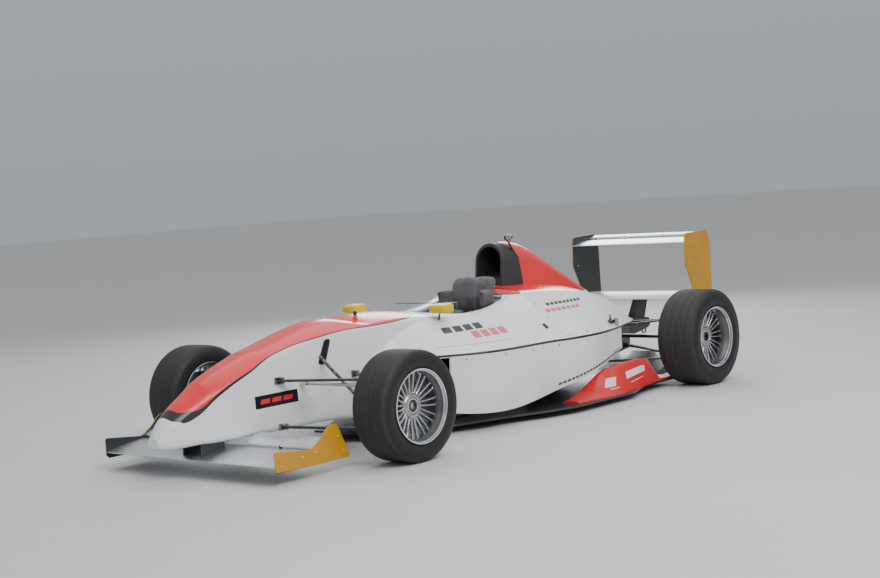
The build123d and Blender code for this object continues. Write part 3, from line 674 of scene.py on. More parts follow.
class Build:
    """Gathers the faces of one piece, in several finishes."""

    def __init__(self):
        self.mesh = bmesh.new()
        self.finishes = []
        self.index = 0

    def use(self, finish):
        """Faces added from now on take this finish."""
        if finish not in self.finishes:
            self.finishes.append(finish)
        self.index = self.finishes.index(finish)
        return self

    def add(self, points, faces):
        """Adds faces over a list of points."""
        made = [self.mesh.verts.new(point) for point in points]
        for face in faces:
            self.mesh.faces.new([made[i] for i in face]).material_index = self.index

    def sweep(self, rings, closed_ring=True, closed_path=False, caps=True):
        """Joins rings of equal length into a skin."""
        count, points, faces = len(rings[0]), [p for ring in rings for p in ring], []
        last = len(rings) if closed_path else len(rings) - 1
        for row in range(last):
            here, there = row * count, (row + 1) % len(rings) * count
            for i in range(count if closed_ring else count - 1):
                j = (i + 1) % count
                faces.append((here + i, here + j, there + j, there + i))
        if caps and not closed_path and closed_ring:
            faces.append(tuple(range(count))[::-1])
            faces.append(tuple((len(rings) - 1) * count + i for i in range(count)))
        self.add(points, faces)

    def lathe(self, profile, place, axis=(0, 1, 0), segments=64, closed=True):
        """Turns a profile of (offset along the axis, radius) about an axis through a place."""
        axis, place = Vector(axis).normalized(), Vector(place)
        self.sweep([[place + axis * offset + out * radius for offset, radius in profile]
                    for out in circle(Vector(), *square_to(axis), segments)], closed, True)

    def cylinder(self, start, end, radius, sides=20, end_radius=None, chamfer=0.0):
        """Closed round bar, tapered or chamfered where asked."""
        start, end = Vector(start), Vector(end)
        axis = (end - start).normalized()
        across, other = square_to(axis)
        last = radius if end_radius is None else end_radius
        stops = [(start, radius), (end, last)]
        if chamfer:
            stops = [(start, radius - chamfer), (start + axis * chamfer, radius),
                     (end - axis * chamfer, last), (end, last - chamfer)]
        self.sweep([circle(centre, across * size, other * size, sides) for centre, size in stops])

    def tube(self, points, radius, sides=12, smooth=True, flat=1.0, level=(0, 0, 1)):
        """Pipe along a rounded path; flat under 1 makes it oval along the level direction."""
        path = spline(points) if smooth else [Vector(p) for p in points]
        rings = []
        for i, point in enumerate(path):
            ahead = (path[min(i + 1, len(path) - 1)] - path[max(i - 1, 0)]).normalized()
            side = ahead.cross(Vector(level)).normalized()
            up = side.cross(ahead)
            rings.append(circle(point, side * radius, up * radius * flat, sides))
        self.sweep(rings)

    def box(self, centre, size, turn=None):
        """Block about a centre."""
        half = Vector(size) / 2
        points = []
        for sx, sy, sz in ((-1, -1, -1), (1, -1, -1), (1, 1, -1), (-1, 1, -1),
                           (-1, -1, 1), (1, -1, 1), (1, 1, 1), (-1, 1, 1)):
            point = Vector((sx * half.x, sy * half.y, sz * half.z))
            points.append(Vector(centre) + (turn @ point if turn else point))
        self.add(points, [(0, 3, 2, 1), (4, 5, 6, 7), (0, 1, 5, 4), (1, 2, 6, 5), (2, 3, 7, 6), (3, 0, 4, 7)])

    def ball(self, centre, radius, stretch=(1, 1, 1), rows=12, columns=20):
        """Sphere or spheroid."""
        rings = []
        for row in range(1, rows):
            high = math.pi * row / rows
            rings.append([Vector(centre) + Vector((
                radius * stretch[0] * math.sin(high) * math.cos(math.tau * k / columns),
                radius * stretch[1] * math.sin(high) * math.sin(math.tau * k / columns),
                -radius * stretch[2] * math.cos(high))) for k in range(columns)])
        self.sweep(rings)

    def plate(self, outline, levels):
        """Flat outline of (x, y), drawn at each of these heights and joined."""
        self.sweep([[Vector((a, b, c)) for a, b in outline] for c in levels])

    def bolt(self, place, axis, radius=0.005, head=0.004):
        """Socket head: a chamfered cap with a recess, standing on a surface."""
        axis = Vector(axis).normalized()
        profile = ((0.0, 0.0), (0.0, radius), (head * 0.8, radius), (head, radius * 0.85),
                   (head, radius * 0.5), (head * 0.4, radius * 0.45), (head * 0.4, 0.0))
        self.lathe(profile, place, axis, 12, False)

    def join(self, other, matrix):
        """Copies another build in, moved by a matrix."""
        table = {}
        for vert in other.mesh.verts:
            table[vert] = self.mesh.verts.new(matrix @ vert.co)
        flip = matrix.determinant() < 0
        keep = self.index
        for face in other.mesh.faces:
            corners = [table[v] for v in face.verts]
            self.use(other.finishes[face.material_index])
            self.mesh.faces.new(corners[::-1] if flip else corners).material_index = self.index
        self.index = keep

    def both(self, half):
        """Copies a left half in, and once more mirrored to the right."""
        self.join(half, Matrix())
        self.join(half, MIRROR)
        half.mesh.free()

    def piece(self, name, body="root", slot=None, replaces=(), bevel=0.0, smooth=35, levels=0, origin=None,
              segments=2):
        """Turns the gathered faces into one piece that rides on a body."""
        bmesh.ops.recalc_face_normals(self.mesh, faces=self.mesh.faces)
        if origin is not None:
            bmesh.ops.translate(self.mesh, verts=self.mesh.verts, vec=-Vector(origin))
        data = bpy.data.meshes.new(name)
        self.mesh.to_mesh(data)
        self.mesh.free()
        data.polygons.foreach_set("use_smooth", [True] * len(data.polygons))
        data.set_sharp_from_angle(angle=math.radians(smooth))
        for finish in self.finishes:
            data.materials.append(MATERIALS[finish])
        thing = linked(name, data)
        if origin is not None:
            thing.location = origin
        if bevel:
            edge = thing.modifiers.new("bevel", "BEVEL")
            edge.width, edge.segments, edge.limit_method = bevel, segments, "ANGLE"
            edge.angle_limit = math.radians(40)
            edge.harden_normals = True
        if levels:
            finer = thing.modifiers.new("subdivision", "SUBSURF")
            finer.levels = finer.render_levels = levels
        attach(thing, body)
        if replaces:
            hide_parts(*replaces)
        return thing


def spline(points, steps=8):
    """Catmull-Rom curve through points."""
    nodes = [Vector(p) for p in points]
    if len(nodes) < 3:
        return nodes
    path = []
    for i in range(len(nodes) - 1):
        a, b = nodes[max(i - 1, 0)], nodes[i]
        c, d = nodes[i + 1], nodes[min(i + 2, len(nodes) - 1)]
        for step in range(steps):
            t = step / steps
            path.append(0.5 * (2 * b + (c - a) * t + (2 * a - 5 * b + 4 * c - d) * t * t
                               + (3 * b - a - 3 * c + d) * t ** 3))
    return path + [nodes[-1]]


def oblong(wide, tall):
    """Corners of a rectangle about the origin, from its half sizes."""
    return [(-wide, -tall), (wide, -tall), (wide, tall), (-wide, tall)]


def moved(table, x, y):
    """A table of pairs, moved."""
    return [(x + a, y + b) for a, b in table]


def rounded(outline, radius, steps=5):
    """Outline with its corners rounded."""
    points, count = [Vector((*p, 0)) for p in outline], len(outline)
    result = []
    for i, corner_point in enumerate(points):
        before = (points[i - 1] - corner_point)
        after = (points[(i + 1) % count] - corner_point)
        reach = min(radius, before.length * 0.45, after.length * 0.45)
        start, end = corner_point + before.normalized() * reach, corner_point + after.normalized() * reach
        for step in range(steps + 1):
            t = step / steps
            point = start * (1 - t) ** 2 + corner_point * 2 * t * (1 - t) + end * t * t
            result.append((point.x, point.y))
    return result


MIRROR = Matrix.Scale(-1, 4, Vector((0, 1, 0)))
SIDES = (("left", 1), ("right", -1))
WHEEL_DISH = {"front": 0.060, "rear": 0.075}
HUB_INNER = {"front": -0.040, "rear": -0.060}
SPOKE_PAIRS = 12
DRIVE_PEGS = 4
DISC_VANES = 36
TYRE_SEGMENTS = 112
HUB_SEGMENTS = 72
BELL_SEGMENTS = 48

# Tyre section in metres: in from the wall and out from the rim, then in from the wall and below the tread
TYRE_WALL = (
    (-0.016, -0.013), (-0.0155, -0.003), (-0.011, 0.002), (-0.0075, 0.006), (-0.0062, 0.0065),
    (-0.005, 0.009), (-0.0048, 0.013), (-0.0018, 0.024), (-0.0004, 0.034), (0.0, 0.040),
    (-0.0004, 0.041), (-0.0006, 0.044), (-0.0022, 0.054),
)
TYRE_SHOULDER = (
    (-0.006, -0.0235), (-0.0068, -0.0225), (-0.0085, -0.0165), (-0.0125, -0.0105), (-0.0185, -0.0055),
    (-0.026, -0.0028), (-0.036, -0.0014), (-0.056, -0.0006),
)

# Rim sections in metres, each from the edge, the well's floor, the inner edge or the hub face
RIM_LIP = (
    (-0.0045, -0.0005), (-0.001, -0.0018), (0.0, -0.0045), (-0.001, -0.0075), (-0.005, -0.0088),
    (-0.012, -0.0095), (-0.0135, -0.0125), (-0.016, -0.0135), (-0.0125, -0.003),
)
RIM_STEPS = ((-0.013, -0.0118), (-0.018, -0.0145), (-0.032, -0.0165), (-0.038, -0.0215))
RIM_FLOOR = ((0.008, -0.0265), (0.0, -0.0245))
RIM_INSIDE = ((0.03, -0.0195), (0.006, -0.008), (0.0, -0.004), (0.004, 0.0), (0.010, -0.012), (0.034, -0.014))
RIM_UNDER = ((-0.03, -0.014), (-0.014, -0.0125))
RIM_CENTRE = (
    (-0.030, 0.030), (-0.030, 0.060), (-0.020, 0.066), (-0.006, 0.062), (0.002, 0.054),
    (0.004, 0.046), (0.002, 0.041), (-0.004, 0.038), (-0.004, 0.030),
)
FLOOR_DROP = 0.022
SPOKE_ROOT = 0.056
SPOKE_TIP = 0.023
SPOKE_STOPS = (0.0, 0.12, 0.35, 0.7, 0.92, 1.0)
SPOKE_FILLET = {0.0: 0.003, 1.0: 0.004}
PEG_CIRCLE = 0.034

# Hub sections in metres, from the hub's inner end or the rim's hub face
DISC_FACES = ((0.008, 0.0115), (0.0145, 0.018))
DISC_BORE = 0.075
BELL_INNER = (
    (0.008, 0.030), (0.008, 0.074), (0.017, 0.0755), (0.018, 0.066), (0.030, 0.050), (0.040, 0.040),
)
BELL_FACE = ((-0.032, 0.040), (-0.032, 0.030))
LOCK_NUT = (
    (-0.028, 0.004), (-0.028, 0.028), (-0.004, 0.028), (0.001, 0.0255), (0.001, 0.019),
    (-0.018, 0.017), (-0.018, 0.004),
)
NUT_WASHER = ((-0.003, 0.0295), (-0.003, 0.0365), (-0.0005, 0.0372), (-0.0005, 0.0295))


def wheel_sizes(end, sign=1):
    """Axle centre on one side, tyre radius, half width and the rim's radius, from the frame."""
    low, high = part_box("tyre_" + end + "_left")
    rim_low, rim_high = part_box("rim_" + end + "_left")
    centre = (Vector(low) + Vector(high)) / 2
    centre.y *= sign
    return centre, (high[2] - low[2]) / 2, (high[1] - low[1]) / 2, (rim_high[2] - rim_low[2]) / 2


def rim_edge(end):
    """Distance of the rim's outer edge from the middle of its wheel."""
    return corner(f"rim_{end}_left", 1, True) - wheel_sizes(end)[0].y


def wheel_piece(build, name, slot, part, wheel, origin, smooth):
    """Finishes one piece of a wheel in place of the frame's own."""
    build.piece(f"{name}_{wheel}", f"wheel_{wheel}", slot, (f"{part}_{wheel}",), origin=origin, smooth=smooth)


def tyre(end, side, sign):
    """Slick tyre: rounded shoulders, bulged sidewall with moulded rings and a bead seated on the rim."""
    centre, radius, wall, rim_radius = wheel_sizes(end, sign)
    outer = moved(TYRE_WALL, wall, rim_radius) + moved(TYRE_SHOULDER, wall, radius)
    profile = outer + [(0.0, radius)] + [(-offset, size) for offset, size in reversed(outer)]
    piece = Build().use("tyre")
    piece.lathe(profile, centre, (0, sign, 0), TYRE_SEGMENTS)
    wheel_piece(piece, "slick", "tyre", "tyre", f"{end}_{side}", centre, 50)


def spoke_pair(size, face, sign):
    """Two thin spokes that lean apart from the hub to the rim."""
    pair = Build().use("rim")
    tip = size - SPOKE_TIP
    for lean in (-1, 1):
        rings = []
        for share in SPOKE_STOPS:
            r = SPOKE_ROOT + (tip - SPOKE_ROOT) * share
            offset = lean * (0.0085 + 0.0085 * share)
            wide = 0.0052 + 0.0016 * (1 - share) ** 2 + SPOKE_FILLET.get(share, 0.0)
            high = face - 0.004 + 0.011 * share ** 1.6
            deep = 0.017 - 0.004 * share
            section = ((-wide, -deep), (-wide * 0.9, -0.003), (-wide * 0.45, 0.0), (wide * 0.45, 0.0),
                       (wide * 0.9, -0.003), (wide, -deep))
            rings.append([Vector((offset + a, (high + b) * sign, r)) for a, b in section])
        pair.sweep(rings)
    return pair


def rim(end, side, sign):
    """Cast rim: stepped lip, deep barrel, ring of paired thin spokes and a centre lock recess."""
    centre, _, _, size = wheel_sizes(end, sign)
    edge = rim_edge(end)
    face = edge - WHEEL_DISH[end]
    floor = WHEEL_DISH[end] + FLOOR_DROP
    # the barrel takes the darker barrel finish, which is painted shade inside the rim
    barrel = (moved(RIM_STEPS, edge, size) + moved(RIM_FLOOR, edge - floor, size)
              + moved(RIM_INSIDE, -edge, size) + moved(RIM_UNDER, edge, size))
    piece = Build()
    for finish, profile, segments in (("lip", moved(RIM_LIP, edge, size), TYRE_SEGMENTS),
                                      ("barrel", barrel, TYRE_SEGMENTS),
                                      ("rim", moved(RIM_CENTRE, face, 0.0), HUB_SEGMENTS)):
        piece.use(finish).lathe(profile, centre, (0, sign, 0), segments)
    pair = spoke_pair(size, face, sign)
    for index in range(SPOKE_PAIRS):
        turn = Matrix.Translation(centre) @ Matrix.Rotation(math.tau * index / SPOKE_PAIRS, 4, "Y")
        piece.join(pair, turn)
    pair.mesh.free()
    piece.use("arm")
    for index in range(DRIVE_PEGS):
        angle = math.tau * (index + 0.5) / DRIVE_PEGS
        out = Vector((math.cos(angle), 0, math.sin(angle))) * PEG_CIRCLE
        spot = centre + out + Vector((0, (face - 0.004) * sign, 0))
        piece.cylinder(spot, spot + Vector((0, 0.003 * sign, 0)), 0.0032, 10, chamfer=0.0008)
    piece.use("bright")
    valve = centre + Vector((0, (edge - 0.022) * sign, size - 0.018))
    piece.cylinder(valve, valve + Vector((0, 0.018 * sign, -0.012)), 0.003, 8, chamfer=0.0006)
    wheel_piece(piece, "wheel_rim", "rim_silver", "rim", f"{end}_{side}", centre, 40)


def hub(end, side, sign):
    """Hub with its centre lock nut, washer and vented brake disc."""
    centre = wheel_sizes(end, sign)[0]
    low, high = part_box("hub_" + end + "_left")
    inner = HUB_INNER[end]
    face = rim_edge(end) - WHEEL_DISH[end]
    disc_radius = (high[2] - low[2]) / 2
    axis = (0, sign, 0)
    piece = Build().use("disc")
    for start, finish in DISC_FACES:
        start, finish, outer = inner + start, inner + finish, disc_radius - 0.001
        piece.lathe(((start, DISC_BORE), (finish, DISC_BORE), (finish, outer), (start, outer)),
                    centre, axis, HUB_SEGMENTS)
    piece.use("cast")
    for index in range(DISC_VANES):
        angle = math.tau * index / DISC_VANES
        out = Vector((math.cos(angle), 0, math.sin(angle)))
        vane = centre + Vector((0, (inner + 0.013) * sign, 0))
        piece.cylinder(vane + out * (DISC_BORE + 0.003), vane + out * (disc_radius - 0.004), 0.0016, 6)
    piece.lathe(moved(BELL_INNER, inner, 0.0) + moved(BELL_FACE, face, 0.0), centre, axis, BELL_SEGMENTS)
    piece.use("arm").lathe(moved(LOCK_NUT, face, 0.0), centre, axis, BELL_SEGMENTS)
    piece.use("bright").lathe(moved(NUT_WASHER, face, 0.0), centre, axis, BELL_SEGMENTS)
    wheel_piece(piece, "brake_hub", "disc_iron", "hub", f"{end}_{side}", centre, 35)


for end in ("front", "rear"):
    for side, sign in SIDES:
        tyre(end, side, sign)
        rim(end, side, sign)
        hub(end, side, sign)


# Mirrors in metres: inner side, height, depth, the stalk's foot behind the rim
MIRROR_INNER = 0.257
MIRROR_HEIGHT = 0.05
MIRROR_DEPTH = 0.085
MIRROR_FOOT = (0.035, 0.297, 0.558)

# Mirror edge: how far back and how wide. Mirror shell: share of its depth, width and height
MIRROR_EDGE = ((-0.002, 1.0), (0.0025, 1.0), (0.0025, 0.95), (-0.001, 0.94))
MIRROR_ROWS = ((0.0, 0.30, 0.5), (0.1, 0.66, 0.72), (0.3, 0.9, 0.92), (0.62, 1.0, 1.0), (1.0, 1.0, 1.0))


def mirror_housing():
    """Rounded mirror shells with silvered glass behind and slim stalks."""
    front, outer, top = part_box("mirrors")[1]
    bottom = top - MIRROR_HEIGHT
    centre_y, centre_z = (MIRROR_INNER + outer) / 2, (bottom + top) / 2
    wide, tall = (outer - MIRROR_INNER) / 2, (top - bottom) / 2
    rim_x = front - MIRROR_DEPTH

    def ring(line, x, share_y=1.0, share_z=1.0):
        return [Vector((x, centre_y + a * share_y, centre_z + b * share_z)) for a, b in line]

    half = Build().use("mirror")
    half.sweep([ring(rounded(oblong(wide * across, tall * up), 0.016), front - MIRROR_DEPTH * share)
                for share, across, up in MIRROR_ROWS])
    half.use("black")
    edge = rounded(oblong(wide * 0.97, tall * 0.94), 0.015)
    half.sweep([ring(edge, rim_x - d, s, s) for d, s in MIRROR_EDGE])
    half.use("glass")
    half.sweep([ring(edge, rim_x - d, 0.93, 0.9) for d in (-0.002, 0.0012)])
    half.use("arm")
    ahead, foot_y, foot_z = MIRROR_FOOT
    base = Vector((rim_x + ahead, foot_y, foot_z))
    head = Vector((rim_x + ahead, centre_y - 0.004, bottom + 0.004))
    half.tube([base, base + Vector((0.0, 0.006, 0.03)), head], 0.0052, 10, flat=0.6, level=(1, 0, 0))
    piece = Build()
    piece.both(half)
    piece.piece("mirror_pair", "root", "mirror_yellow", ("mirrors",), smooth=50)


# Body forms. Stations forward from the front axle and sizes are in millimetres

# Engine cover: station, y shoulder, y rim, z rim, z crown
COVER = (
    (-1500.3, 600, 300, 668, 700), (-1690, 592, 295, 656, 696), (-1880, 568, 287, 638, 688),
    (-2110, 500, 268, 611, 655), (-2310, 420, 240, 566, 610), (-2500, 340, 200, 512, 556),
    (-2640, 270, 150, 440, 470),
)
COVER_WALL = 8
RIM_REACH = 26

# Blister on the cover's flank: station, half length, share of the flank's height, half of that share, rise
BLISTER = (-1735, 200, 0.2, 0.24, 17)

# Air box from the intake back along the hump: station, half width, z base, z top
AIRBOX = (
    (-1501, 106, 690, 930), (-1620, 104, 690, 941), (-1740, 100, 688, 941), (-1862, 92, 640, 914),
    (-2120, 62, 600, 789), (-2400, 36, 540, 643), (-2562, 19, 480, 557),
)
THROAT = ((-1480, 92, 736, 916), (-1600, 87, 744, 925), (-1745, 60, 784, 880))
INTAKE_FACE = ((-1575, 680), (-1616, 1000))
HUMP_EDGE = ((-1785, 600), (-1775, 723), (-1748, 851), (-1682, 925), (-1645, 1000))
HUMP_END = -2560
COLLAR_STOPS = (0, 0.01, 0.02, 0.03, 0.15, 0.3, 0.45, 0.6, 0.75, 0.9, 1.0)
COLLAR_ROUND = 5
THROAT_BACK = ((-1735, 600), (-1745, 1000))

# Passes that bring a point of a slanted ring onto its line, and how far out a look at the body's skin starts
SETTLE_STEPS = 12
SKIN_START = 1100

# Panel that flares from the tub to the pod's mouth: station, y edge, y inner, z inner
FLARE = ((-330, 238, 190, 606), (-430, 292, 196, 606), (-530, 390, 210, 606), (-651, 486, 240, 604))
FLARE_THICKNESS = 11
FLARE_LAP = 9
FLARE_CLEARANCE = 1.2

# Side pod: station, y shoulder, y bottom, z bottom, y inner, z top inner
POD = (
    (-650, 485, 470, 118, 286, 596), (-800, 572, 560, 98, 292, 594), (-1100, 602, 590, 97, 300, 592),
)

DUCT = (-652, -978)
DUCT_WALL = 11.5

# Fairing ahead of the rear wheel: station, y inner, y ridge, z ridge, y edge
FAIRING = (
    (-1480, 560, 600, 60, 664), (-1704, 500, 560, 111, 687), (-1851, 480, 560, 172, 687),
    (-2020, 450, 555, 190, 662), (-2170, 430, 546, 196, 628), (-2310, 410, 536, 190, 600),
    (-2376, 404, 528, 174, 592), (-2404, 404, 518, 130, 590), (-2416, 402, 508, 66, 588),
)
FAIRING_TAIL = -2545
FAIRING_FALL = 55
TAIL_HEIGHT = 14
FLOOR_TOP = 47

# Wing elements: leading edge, trailing edge, rise of the upper and lower side over the chord
FRONT_PLANE = ((728, 88), (470, 123), 8, -5)
FRONT_FLAP = ((484, 134), (398, 171), 7, -4)
REAR_PLANE = ((-2992, 833), (-3195, 858), 10, -8)
REAR_FLAP = ((-3186, 870), (-3262, 886), 5, -3)
BEAM_PLANE = ((-3038, 473), (-3205, 512), 12, -5)
WING_NOSE, WING_TAIL, WING_NOSE_SHARE, WING_SPACING = 2.6, 1.3, 0.02, 1.6
FRONT_SPAN = 613.7
REAR_SPAN = 431.7
FLAP_START = 150
FRONT_PLATE = ((730, 66), (730, 160), (506, 136), (440, 175), (396, 219), (370, 231), (335, 228), (325, 215),
               (257, 62), (480, 60))
REAR_PLATE = ((-2998, 889), (-3250, 897), (-3285, 850), (-3285, 458), (-3050, 458), (-3052, 572),
              (-2996, 680), (-2986, 704))
PLATE = 6

# Small parts of the wings, seen from the side: the strips are measured from a flap's trailing edge
FLAP_STRIP = ((2, 1), (-1.5, 1), (-1.5, 4.5), (0.5, 4.5))
REAR_STRIP = ((1.5, 0), (0.2, 0), (0.2, 3.6), (1.5, 3.6))
HANGER = ((690, 90), (686, 160), (676, 168), (560, 168), (548, 158), (545, 108))
HANGER_Y = (62, 70)
FLAP_TAB = ((10, 122), (10, 138), (-4, 146), (-10, 140), (-10, 122))
TAB_STATIONS = (474, 430)
TAB_Y = (380, 384)
REAR_BRACKET = ((-3176, 850), (-3176, 876), (-3200, 884), (-3214, 876), (-3210, 862))
BRACKET_Y = 150
PLATE_FOOT = ((722, 60.5), (722, 66), (300, 66), (268, 62), (268, 60.5))

# Wing bolts: station, distance from the middle, height
WING_BOLTS = ((470, 592, 128), (640, 66, 104), (600, 66, 104), (560, 66, 104))

# Endplates: node, outline, inner side, corner radius, bolts
ENDPLATES = (
    ("front_endplates", FRONT_PLATE, 614, 14,
     ((690, 92), (560, 112), (482, 120), (415, 158), (330, 170), (300, 96))),
    ("rear_endplates", REAR_PLATE, 432, 26,
     ((-3050, 838), (-3150, 850), (-3235, 872), (-3090, 488), (-3160, 505), (-3040, 700))),
)


def place(x, y, z):
    """Model point of a station and two sizes in millimetres."""
    return Vector((station(x), y / 1000, z / 1000))


def row_at(rows, x):
    """Sizes of a table at a station, on a smooth curve through its rows."""
    last = len(rows) - 2
    i = next((k for k in range(last + 1) if rows[k + 1][0] <= x), last)
    i = 0 if x > rows[0][0] else i
    ahead, behind = rows[i], rows[i + 1]
    span = behind[0] - ahead[0]
    t = (x - ahead[0]) / span
    sizes = []
    for k in range(1, len(ahead)):
        slopes = []
        for j in (i, i + 1):
            before, after = rows[max(j - 1, 0)], rows[min(j + 1, last + 1)]
            slopes.append((after[k] - before[k]) / (after[0] - before[0]) * span)
        sizes.append((2 * t ** 3 - 3 * t ** 2 + 1) * ahead[k] + (t ** 3 - 2 * t ** 2 + t) * slopes[0]
                     + (3 * t ** 2 - 2 * t ** 3) * behind[k] + (t ** 3 - t ** 2) * slopes[1])
    return sizes


def on_line(points, height):
    """Station of a line given by (station, height) points, at a height."""
    line = sorted(points, key=lambda p: p[1])
    for (x_low, low), (x_high, high) in zip(line, line[1:]):
        if height <= high:
            break
    return x_low + (x_high - x_low) * (height - low) / (high - low)


def steps_between(start, end, count):
    """Evenly spaced values, both ends included."""
    return [start + (end - start) * i / count for i in range(count + 1)]


def swell(value, centre, half):
    """Smooth hill from 0 up to 1 at its centre."""
    away = (value - centre) / half
    return max(0.0, 1 - away * away) ** 2


def arc_through(start, top, end, count):
    """Points of the arc through three points, from start to end."""
    (x1, y1), (x2, y2), (x3, y3) = start, top, end
    d = 2 * (x1 * (y2 - y3) + x2 * (y3 - y1) + x3 * (y1 - y2))
    s1, s2, s3 = x1 ** 2 + y1 ** 2, x2 ** 2 + y2 ** 2, x3 ** 2 + y3 ** 2
    cx = (s1 * (y2 - y3) + s2 * (y3 - y1) + s3 * (y1 - y2)) / d
    cy = (s1 * (x3 - x2) + s2 * (x1 - x3) + s3 * (x2 - x1)) / d
    size = math.hypot(x1 - cx, y1 - cy)
    first, last = math.atan2(y1 - cy, x1 - cx), math.atan2(y3 - cy, x3 - cx)
    return [(cx + size * math.cos(a), cy + size * math.sin(a)) for a in steps_between(first, last, count)]


def cover_outline(x, inset=0):
    """Section of the engine cover from the left shoulder over the top to the right."""
    y_low, y_rim, z_rim, z_crown = row_at(COVER, x)
    y_low, y_rim = y_low - 1.4 * inset, y_rim - inset
    z_low, z_rim, z_crown = shut_line(x), z_rim - inset, z_crown - inset
    at, half, share, half_share, rise = BLISTER
    side = []
    for k in steps_between(0, 0.9, 14):
        out = 0 if inset else rise * swell(x, at, half) * swell(k, share, half_share)
        side.append((y_low + (y_rim - y_low) * k + out * 0.65, z_low + (z_rim - z_low) * k + out * 0.76))
    arch = arc_through((y_rim, z_rim), (0, z_crown), (-y_rim, z_rim), 28)
    before = Vector(side[-1])
    after = Vector(arch[2])
    tip = Vector((y_rim, z_rim))
    before = tip + (before - tip).normalized() * RIM_REACH
    after = tip + (after - tip).normalized() * RIM_REACH
    bend = [before * (1 - t) ** 2 + tip * 2 * t * (1 - t) + after * t * t for t in steps_between(0, 1, 6)]
    left = side[:-1] + [tuple(p) for p in bend]
    top = [p for p in arch if abs(p[0]) < after.x - 4]
    return left + top + [(-y, z) for y, z in reversed(left)]


def engine_cover():
    """Shell over the engine, with rounded rims and a shallow blister on each flank."""
    piece = Build().use("cover")
    stations = steps_between(COVER[0][0], COVER[-1][0], 76)
    outlines = [cover_outline(x) for x in stations]
    inner = [cover_outline(x, COVER_WALL) for x in stations]
    count = min(len(o) for o in outlines + inner)
    rings = []
    for x, out, back in zip(stations, outlines, inner):
        rings.append([place(x, *p) for p in resample(out, count) + resample(back, count)[::-1]])
    piece.sweep(rings)
    return piece.piece("cover_shell", "root", "body_paint", ("engine_cover",), smooth=28)


def resample(points, count):
    """The same number of points along each section, its own points kept where they fit."""
    if len(points) == count:
        return list(points)
    extra = (len(points) - count) // 2
    centre = len(points) // 2
    return list(points[:centre - extra]) + list(points[centre + len(points) - count - extra:])


def arch_outline(half, z_base, z_top, count=28):
    """Upright sides under a round arch, from the left foot over to the right."""
    spring = z_top - half
    left = [(half, z) for z in steps_between(z_base, spring, 10)]
    arch = [(half * math.cos(a), spring + half * math.sin(a)) for a in steps_between(0, math.pi, count)]
    return left[:-1] + arch + [(-y, z) for y, z in reversed(left[:-1])]


def slanted_ring(rows, line, inset=0):
    """Air box outline whose points lie on a leaning line seen from the side."""
    length = len(arch_outline(1, 0, 2))
    ring = []
    for k in range(length):
        x = line(700)
        for _ in range(SETTLE_STEPS):
            half, z_base, z_top = row_at(rows, x)
            y, z = arch_outline(half - inset, z_base, z_top - inset)[k]
            x = 0.5 * x + 0.5 * line(z)
        ring.append(place(x, y, z))
    return ring


def between_lines(first, last, share):
    """Line at a share of the way between two leaning lines."""
    return lambda z: on_line(first, z) * (1 - share) + on_line(last, z) * share


def air_box():
    """Dark intake collar with its leaning mouth, and the painted hump behind its slanted edge."""
    collar = Build().use("collar")
    rings = [slanted_ring(AIRBOX, between_lines(INTAKE_FACE, HUMP_EDGE, t),
                          COLLAR_ROUND * (1 - min(1, t / COLLAR_STOPS[3])) ** 2) for t in COLLAR_STOPS]
    mouth = slanted_ring(THROAT, lambda z: on_line(INTAKE_FACE, z), 2)
    lip = slanted_ring(THROAT, lambda z: on_line(INTAKE_FACE, z) - 6, 0)
    collar.sweep(rings[::-1] + [mouth, lip], caps=False)
    # the throat's deep skin and the sheet closing its end are near black: painted shade inside the intake
    collar.use("void")
    deep = [lip] + [slanted_ring(THROAT, between_lines(INTAKE_FACE, THROAT_BACK, t))
                    for t in (0.25, 0.5, 0.75, 1.0)]
    collar.sweep(deep, caps=False)
    collar.add(deep[-1], [tuple(range(len(deep[-1])))])
    collar.piece("intake_collar", "root", "carbon", ("air_intake",), smooth=40)
    hump = Build().use("cover")
    end = ((HUMP_END, 400), (HUMP_END, 1000))
    rings = [slanted_ring(AIRBOX, between_lines(HUMP_EDGE, end, t)) for t in steps_between(0, 1, 30)]
    hump.sweep(rings, caps=False)
    hump.add(rings[-1], [tuple(range(len(rings[-1])))])
    hump.piece("cover_hump", "root", "body_paint", smooth=40)


def shoulder_panels():
    """Panels that flare from the tub's sides out to the lip over each pod's mouth."""
    half, piece = Build().use("pod"), Build()
    pod = frame_nodes("side_pod_left")
    shares = steps_between(0, 1, 12)
    start, end = FLARE[0][0], FLARE[-1][0]
    _, y_last, y_first, z_first = FLARE[-1]
    swelling = []
    for s in shares:
        height = z_first + (shut_line(end) - z_first) * s
        met = on_skin(pod, place(end - FLARE_LAP + 1, SKIN_START, height), (0, -1, 0))
        straight = y_first + (y_last - y_first) * s
        swelling.append(max(0, met[0].y * 1000 + FLARE_CLEARANCE - straight) if met else 0)
    swelling[0] = min(swelling[0], swelling[1])
    rings = []
    for x in steps_between(start, end - FLARE_LAP, 20):
        y_edge, y_in, z_in = row_at(FLARE, x)
        share = ((x - start) / (end - FLARE_LAP - start)) ** 2
        outer = [(y_in + (y_edge - y_in) * s + rise * share, z_in + (shut_line(x) - z_in) * s)
                 for s, rise in zip(shares, swelling)]
        inner = [(y - FLARE_THICKNESS, z - FLARE_THICKNESS) for y, z in outer[::-1]]
        rings.append([place(x, *p) for p in outer + inner])
    half.sweep(rings)
    piece.both(half)
    piece.piece("shoulder_panels", "root", "body_paint", smooth=50)


